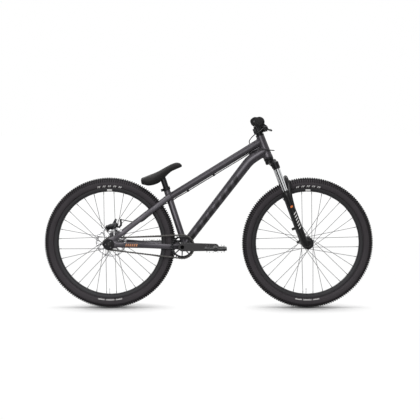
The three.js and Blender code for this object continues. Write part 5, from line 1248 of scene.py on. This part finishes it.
put(swept("handlebar_tube", bar_stations(), black_alloy, 40, steer_ahead), "steering", "handlebar")
grip_rubber = soft_finish("grip_rubber", (0.011, 0.011, 0.0115), 0.75, grain=1300, relief=0.3)
grip_length, grip_ribs, rib_pitch = 134.0, 29, 4.1
grip_profile = [(11.3, 0), (24.6, 0), (25.9, 1), (25.9, 3), (24.8, 4), (17, 4.6)]
for ring in range(grip_ribs):
    place = 7.0 + ring * rib_pitch
    grip_profile += [(15.7, place), (15.7, place + 1.4), (16.9, place + 1.9), (16.9, place + 3.6)]
grip_profile += [(16, 127), (16.4, 130), (16.9, 131), (16.9, 132.8), (15.6, 134), (11.3, 134)]


def bar_direction(side):
    return (bar_point(1, side) - bar_point(0.5, side)).normalized()


for name, side in both_sides:
    end_point, direction = bar_point(1, side), bar_direction(side)
    grip_place = Matrix.Translation((end_point - direction * grip_length) * mm) @ direction.to_track_quat(
        "Y", "Z").to_matrix().to_4x4()
    put(turned(f"grip_{name}_rubber", grip_profile, grip_rubber, grip_place, 48, 30), "steering",
        f"grip_{name}")
    put(turned(f"grip_{name}_end", [(0, 128), (11.2, 128), (11.2, 133.4), (9.8, 134), (0, 134)], grip_rubber,
        grip_place, 40), "steering")

# Brake lever
# A clamp on the bar with two ears and a barrel adjuster. The blade turns on a pin between the ears.
lever_base = bar_point((bar_half_width - grip_length - 31.0) / bar_half_width, -1)
lever_inboard = -bar_direction(-1)
lever_turn = math.radians(42)
lever_out = steering_frame.to_3x3() @ Vector((math.cos(lever_turn + head_tilt), 0,
    -math.sin(lever_turn + head_tilt)))
lever_out = (lever_out - lever_inboard * lever_out.dot(lever_inboard)).normalized()
lever_side = lever_out.cross(lever_inboard)
lever_axes = Matrix((lever_out, lever_inboard, lever_side)).transposed().to_4x4()
lever_frame = Matrix.Translation(lever_base * mm) @ lever_axes
lever_reach = 46.0
put(turned("lever_clamp", band(11.3, 16.5, -9, 9, 0.7, 0.8), black_alloy, lever_frame, 48), "steering",
    "brake_lever_bracket")
for side in (-1, 1):
    outline = [(12, -8.4), *arc(8.0, -math.pi / 2, math.pi / 2, 14, lever_reach), (12, 8.4)]
    put(plate(f"lever_ear_{side}", [outline], *spread(side, 3.4, 7.6), 0.8, black_alloy,
        lever_frame @ Matrix.Rotation(-math.pi / 2, 4, "X")), "steering")
barrel_profile = [(0, -6), (5.4, -6), (5.5, 9), (5.5, 19), (4.9, 19.4), (4.9, 20.6)]
for ring in range(6):
    barrel_profile += [(5.5, 20.9 + ring * 1.7), (5.5, 21.9 + ring * 1.7), (4.9, 22.2 + ring * 1.7)]
barrel_profile += [(4.6, 32.6), (0, 32.8)]
put(turned("lever_barrel", barrel_profile, black_alloy, lever_frame @ moved(29, 0, 0), 32), "steering")
put(turned("lever_pin", band(0, 2.6, -8.4, 8.4, 0.4, 0.6), bolt_steel,
    lever_frame @ moved(lever_reach, 0, 0) @ upright, 24), "steering")
blade_rows = [(0, 0, 0, 6), (6, -9, 1, 6), (14, -18, 3, 9.5), (22, -43, 6, 10), (20, -72, 6.5, 10),
    (24, -90, 7, 10), (27, -96, 7.5, 8)]
blade_rows = [((lever_frame @ (Vector((lever_reach + out, y, up)) * mm)) / mm, thick, 8.4)
    for out, y, up, thick in blade_rows]
put(swept("lever_blade_alloy", smooth_stations(blade_rows, 40), black_alloy, 28, lever_side), "brake_lever",
    "brake_lever_blade")
put(turned("lever_blade_boss", band(2.8, 7.6, -2.9, 2.9), black_alloy,
    lever_frame @ moved(lever_reach, 0, 0) @ upright, 32), "brake_lever")

# Cranks and pedals
# Forged black arms of 170 mm on one spindle, each with a recess in the ring over its bolt, the bolt head
# in it near black as a painted shade of the hole, and flat plastic pedals with steel pins on both faces.
crank_length, crank_inner, crank_thick, crank_flare = 170.0, 56.0, 16.0, 11.0
crank_boss_radius, crank_end_radius = 22, 18
crank_black = soft_finish("crank_black", (0.036, 0.035, 0.0365), 0.45, 0.2, grain=2600, relief=0.06,
    shine=0.25)
# Painted shade: the bolt heads are near black, standing in for the shade inside the crank recesses.
socket_painted_shade = soft_finish("socket_painted_shade", (0.002, 0.002, 0.002), 0.8, relief=0.05, shine=0.04)
lean = Matrix.Identity(4)
lean[1][0] = -crank_flare / crank_length
for name, turn in (("right", 0.0), ("left", math.pi)):
    side_frame = at_cranks @ Matrix.Rotation(turn, 4, "Z")
    put(plate(f"crank_arm_{name}_forging", [lobed(crank_boss_radius, crank_end_radius, crank_length, 0.0)],
        -crank_inner - crank_thick, -crank_inner, 1.7, crank_black, side_frame @ lean, 12), "cranks",
        f"crank_arm_{name}")
    put(turned(f"crank_bolt_{name}", [(9.9, -74), (12, -74), (12.6, -73), (12.6, -70), (14.2, -70),
        (14.2, -38.2), (9.9, -38.2)], crank_black, side_frame, 48), "cranks")
    put(turned(f"crank_bolt_{name}_head", [(0, -72.3), (3.4, -72.3), (3.4, -72.9), (9.8, -72.9), (9.8, -40),
        (0, -40)], socket_painted_shade, side_frame, 32), "cranks")
put(turned("crank_spindle", band(0, 12, -60, 60), black_alloy, at_cranks, 48), "cranks")
pedal_plastic = soft_finish("pedal_plastic", (0.013, 0.013, 0.014), 0.55, grain=900, relief=0.2)
pedal_inner, pedal_wide, pin_height = 87.2, 95.0, 15.0


def pedal_shapes():
    """Rails, cross bars and the axle housing of one pedal, thinner in the middle than at its ends."""
    shapes = []
    inner, outer = pedal_inner, pedal_inner + pedal_wide
    for sign in (-1, 1):
        rail = [(Vector((sign * x, y, 0)), wide, tall) for x, y, wide, tall in ((10, inner + 6.5, 12.8, 21),
            (34, inner + 6.5, 12.8, 26), (43.5, inner + 14, 12.8, 27), (43.5, inner + 40, 12.6, 25),
            (43.5, outer - 40, 12.6, 25), (43.5, outer - 14, 12.8, 27), (34, outer - 6.5, 12.8, 27),
            (10, outer - 6.5, 12.8, 22))]
        shapes.append(sweep(smooth_stations(rail, 40), 28, Vector((0, 0, 1)), 0.35))
    for y in (inner + 30, inner + 65):
        shapes.append(sweep([(Vector((x, y, 0)), 16, 5) for x in (-42, 42)], 20, Vector((0, 0, 1)), 0.6))
    core = [(Vector((0, y, 0)), 24, tall) for y, tall in ((inner + 0.4, 24), (inner + 12, 24),
        (inner + 30, 21), (outer - 30, 21), (outer - 10, 22), (outer - 1, 20))]
    shapes.append(sweep(core, 32, ahead, 0.8))
    return gathered(shapes)


pin_places = [(43.5, 18), (43.5, 34), (43.5, 61), (43.5, 77), (30, 6.5), (30, 88.5), (12, 6.5), (12, 88.5)]
pin_steel = soft_finish("pin_steel", (0.25, 0.25, 0.255), 0.35, 0.9)
for name, side in both_sides:
    pivot = Matrix.Translation(crank_centre + Vector((-side * crank_length, 0, 0)) * mm)
    pedal_frame = pivot @ Matrix.Scale(side, 4, (0, 1, 0))
    put(mesh_piece(f"pedal_{name}_body", *pedal_shapes(), pedal_plastic, pedal_frame, 50), f"pedal_{name}",
        f"pedal_{name}")
    put(turned(f"pedal_axle_{name}_rod", [(0, 60), (6.8, 60), (6.8, 83.5), (8.8, 83.7), (8.8, 86.4),
        (7, 86.8), (7, 150), (0, 150)], chain_steel, pedal_frame, 32), "cranks", f"pedal_axle_{name}")
    studs = []
    for x, y in pin_places:
        for sx in (-1, 1):
            for sz in (-1, 1):
                studs.append(sweep([(Vector((sx * x, pedal_inner + y, sz * high)), wide, wide)
                    for high, wide in ((pin_height - 4, 3.4), (pin_height, 3.0))], 8, ahead))
    put(mesh_piece(f"pedal_{name}_pins", *gathered(studs), pin_steel, pedal_frame), f"pedal_{name}")

# Rear brake
# A mechanical caliper over the rotor on a drilled adapter with two bolts, its outer arm on a pin and the
# stop for the housing.
caliper_outline = [(-27, 72), (-20, 67), (10, 66), (24, 71), (34, 80), (37, 91), (32, 99), (16, 99), (2, 94),
    (-12, 91), (-18, 87), (-25, 87), (-29, 80)]
put(plate("caliper_outer", [caliper_outline], 53.6, 67.5, 1.6, black_alloy, at_rear), "frame",
    "brake_caliper")
put(plate("caliper_inner", [caliper_outline], 34.2, 49.0, 1.6, black_alloy, at_rear), "frame")
put(plate("caliper_bridge", [[(-10, 82), (29, 82), (29, 88), (24, 94.6), (-5, 94.6), (-10, 90)]], 47, 56, 0.8,
    black_alloy, at_rear), "frame")
arm_pivot, arm_reach, arm_angle = at_rear @ moved(10, 0, 80), 36, math.radians(69)
put(turned("caliper_actuator", [(0, 60), (16.4, 60), (16.4, 68.2), (14, 69.4), (5, 69.4), (4, 75),
    (3.4, 75.8), (0, 75.8)], black_alloy, arm_pivot, 48), "frame")
adapter_steel = soft_finish("adapter_steel", (0.5, 0.5, 0.51), 0.38, 0.9, grain=1500, relief=0.1, drift=0.1)
adapter_edge = [(-27, 63), (-21, 54), (-12, 50.5), (22, 50.5), (36, 57), (44, 68), (47, 76), (40, 80),
    (33, 76), (24, 69.5), (-14, 71), (-24, 71)]
adapter_holes = [circle(radius, 20, x, z) for x, z, radius in ((-17, 61.5, 4.2), (-3, 60.5, 4.6),
    (11, 60, 4.4), (26, 62.5, 3.8), (38, 71.5, 3.2))]
put(plate("caliper_adapter", [adapter_edge, *adapter_holes], 59.5, 65.5, 0.7, adapter_steel, at_rear),
    "frame")
for x, z in ((-17, 61.5), (26, 62.5)):
    put(turned(f"caliper_face_bolt_{x}", [(0, 56), (6.2, 56), (6.4, 57), (6.4, 58.9), (3.6, 58.9),
        (3.6, 66.4), (6.2, 66.4), (6.4, 69.4), (5.8, 70.2), (3.4, 70.2), (3.2, 68.4), (0, 68.4)], black_alloy,
        at_rear @ moved(x, 0, z), 24), "frame")
for x in (-19, 24):
    put(turned(f"caliper_bolt_{x}", [(0, 30.5), (4.4, 30.5), (4.8, 31.2), (4.8, 35.5), (0, 35.5)],
        bright_steel, at_rear @ moved(x, 0, 84), 24), "frame")
stop_rows = [(27, 78, 62.7, 9, 12), (42, 76, 62.7, 9.4, 12), (51, 86, 62.7, 9.4, 12), (52, 97, 62.7, 9.4, 11),
    (50, 108, 62.7, 9.4, 10)]
put(swept("caliper_stop_arm", [(Vector((x, y, z)) + axle_rear, wide, tall)
    for x, z, y, wide, tall in stop_rows], black_alloy, 24, square=0.6), "frame")
put(plate("caliper_cable_stop", [[(46, 107), (54, 107), (54, 119), (46, 119)]], 58.5, 74.6, 1.2, black_alloy,
    at_rear), "frame")
put(plate("caliper_lever_arm", [lobed(10, 6, arm_reach, arm_angle)], 68.3, 73.0, 1.0, black_alloy, arm_pivot),
    "caliper_arm", "caliper_arm")
put(turned("caliper_anchor", [(0, 66), (4.2, 66), (4.6, 66.6), (4.6, 75.6), (3.9, 76.4), (2.2, 76.4), (2, 75),
    (0, 75)], bright_steel, arm_pivot @ moved(arm_reach * math.cos(arm_angle), 0,
    arm_reach * math.sin(arm_angle)), 24), "caliper_arm")
put(turned("caliper_pivot_bolt", [(0, 72), (5.6, 72), (6, 73), (6, 75), (5.4, 75.9), (2.6, 75.9), (2.4, 74.4),
    (0, 74.4)], bright_steel, arm_pivot, 32), "caliper_arm")

# Brake cable
# Black housing from the lever, behind the stem, round the head tube, under the top tube and along the left
# seatstay to the stop on the caliper, held at both ends.
housing = soft_finish("housing", (0.014, 0.014, 0.015), 0.4, grain=2000, relief=0.06)
cable_radius = 2.5
loop_places = [(25, -128, 643), (24, -100, 638), (12, -70, 632), (-6, -43, 627), (-28, -20, 621),
    (-48, 2, 611), (-61, 21, 599), (-62, 38, 581), (-46, 46, 561), (-20, 46, 543), (9, 39, 526),
    (33, 21, 514), (42, 0, 510), (34, -20, 514), (12, -33, 525), (-14, -35, 537), (-38, -30, 545),
    (-62, -15, 545)]
top_along = (top_high - top_low).normalized()
stay_up = upward((stay_seat_top - stay_seat_foot).normalized())


def under_top_tube(share):
    return blended(top_low, top_high, share) - upward(top_along) * (top_tube_tall(share) / 2 + 4.4)


def under_seatstay(share):
    spot = next(index for index, row in enumerate(seatstay_shares) if row[0] >= share)
    low, high = seatstay_shares[spot - 1:spot + 1]
    out = low[1] + (high[1] - low[1]) * (share - low[0]) / (high[0] - low[0])
    drop = (24 + 6 * share) / 2 + 4.0
    place = blended(stay_seat_foot, stay_seat_top, share) - stay_up * drop
    return Vector((place.x, out, place.z))


def rounded_line(places, density):
    """Points along a smooth curve through the given places, its knots apart by the roots of the distances."""
    padded = [places[0] * 2 - places[1], *places, places[-1] * 2 - places[-2]]
    line = []
    for spot in range(1, len(padded) - 2):
        p = padded[spot - 1:spot + 3]
        t = [0.0]
        for before, after in zip(p, p[1:]):
            t.append(t[-1] + (after - before).length ** 0.5)
        count = max(2, round((p[2] - p[1]).length / density))
        for step in range(count):
            u = t[1] + (t[2] - t[1]) * step / count
            a = [p[i] * ((t[i + 1] - u) / (t[i + 1] - t[i])) + p[i + 1] * ((u - t[i]) / (t[i + 1] - t[i]))
                for i in range(3)]
            b = [a[i] * ((t[i + 2] - u) / (t[i + 2] - t[i])) + a[i + 1] * ((u - t[i]) / (t[i + 2] - t[i]))
                for i in range(2)]
            line.append(b[0] * ((t[2] - u) / (t[2] - t[1])) + b[1] * ((u - t[1]) / (t[2] - t[1])))
    return line + [places[-1]]


cable_places = [(lever_frame @ (Vector((29, y, 0)) * mm)) / mm for y in (33.3, 40.8)]
cable_places += [on_steering(along, forward, y) for forward, y, along in loop_places]
cable_places += [under_top_tube(share) for share in (0.75, 0.66, 0.5, 0.46, 0.3, 0.18, 0.12)]
cable_places += [axle_rear + Vector(place) for place in ((346, 7, 235), (329, 20, 222), (311, 24, 209))]
cable_places += [under_seatstay(share) for share in (0.86, 0.77, 0.66, 0.55)]
end_places = [(160, 60, 105), (140, 68, 102), (120, 72, 102), (99, 73, 105), (78, 71, 109), (61.8, 69, 113),
    (54.3, 69, 113)]
cable_places += [axle_rear + Vector(place) for place in end_places]
cable_line = rounded_line(cable_places, 3.0)
cable = swept("brake_cable_housing", [(at, 2 * cable_radius, 2 * cable_radius) for at in cable_line], housing,
    14, Vector((0.13, 0.97, 0.21)))
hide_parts("brake_cable")
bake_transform(cable)
put(swept("brake_inner_wire", [(axle_rear + Vector(place), 1.6, 1.6)
    for place in ((47, 69, 113), (30, 71, 113.4), (18, 71, 113.8))], bright_steel, 10), "frame")
for name, share in (("rear", 0.18), ("front", 0.46)):
    at = under_top_tube(share)
    rows = [(at - top_along * 6, 10, 8), (at - top_along * 5.4, 11, 9), (at + top_along * 5.4, 11, 9),
        (at + top_along * 6, 10, 8)]
    put(swept(f"cable_guide_{name}_clip", rows, pedal_plastic, 24, square=0.7), "frame",
        f"cable_guide_{name}")

# Seatpost and saddle
# An alloy post with a round head under a one-piece pivotal saddle: foam on a nylon base, nose up.
post_head = 381.0
post_profile = [(0, 150), (14.8, 150), (15, 150.5), (15, 360), (14.2, 372), (0, 380)]
put(turned("seat_post_tube", post_profile, black_alloy, seat_frame @ upright, 56), "seatpost", "seat_post")
put(turned("seat_post_head", band(0, 14, -16, 16, 1), black_alloy, seat_frame @ moved(0, 0, post_head), 56),
    "seatpost")
put(turned("seat_clamp_ring", band(17.2, 20, 303.2, 318.4, 0.6, 0.8), black_alloy, seat_frame @ upright, 64),
    "frame", "seat_clamp")
for side in (-1, 1):
    put(plate(f"seat_clamp_ear_{side}", [[(-29, 305), (-28, 304), (-18, 303.8), (-18, 318), (-28, 317.6),
        (-29, 316.6)]], *spread(side, 1.2, 9), 1.0, black_alloy, seat_frame), "frame")
put(turned("seat_clamp_bolt", [(0, -10.4), (1.8, -10.4), (2, -12.3), (3.2, -12.3), (3.5, -11.8), (3.5, 12),
    (3, 12.4), (0, 12.4)], bolt_steel, seat_frame @ moved(-24.5, 0, 310.8), 24), "frame")
saddle_cover = soft_finish("saddle_cover", (0.0125, 0.0118, 0.0118), 0.62, grain=1200, relief=0.22,
    shine=0.22)
saddle_length, saddle_rise, saddle_width, saddle_tail, saddle_drop = 214.0, 120.0, 130.0, 110.0, 50.0
saddle_origin, saddle_sides, saddle_steps = on_seat(post_head), 64, 72
saddle_shares = [(0.01, 0.31, 0.17, 0.56), (0.03, 0.34, 0.065, 0.8), (0.1, 0.385, 0.03, 0.94),
    (0.19, 0.45, 0, 1), (0.31, 0.53, 0.03, 0.96), (0.43, 0.63, 0.115, 0.8), (0.52, 0.72, 0.24, 0.64),
    (0.61, 0.81, 0.4, 0.5), (0.73, 0.92, 0.595, 0.38), (0.85, 0.99, 0.7, 0.31), (0.94, 0.965, 0.77, 0.25),
    (0.99, 0.885, 0.81, 0.14)]


def saddle_stations():
    stations = []
    for along, top, bottom, wide in saddle_shares:
        middle = Vector((along * saddle_length - saddle_tail, 0,
            saddle_rise * (top + bottom) / 2 - saddle_drop))
        stations.append((saddle_origin + middle, wide * saddle_width, (top - bottom) * saddle_rise))
    return smooth_stations(stations, saddle_steps)


def saddle_body():
    points = []
    for at, wide, tall in saddle_stations():
        points += section(at, ahead, across_bike, wide, tall, saddle_sides, 0.8)
    return points, skin_faces(saddle_steps + 1, saddle_sides, False, True)


saddle = mesh_piece("saddle_pad", *saddle_body(), saddle_cover, sharp=60)
put(saddle, "saddle", "saddle")
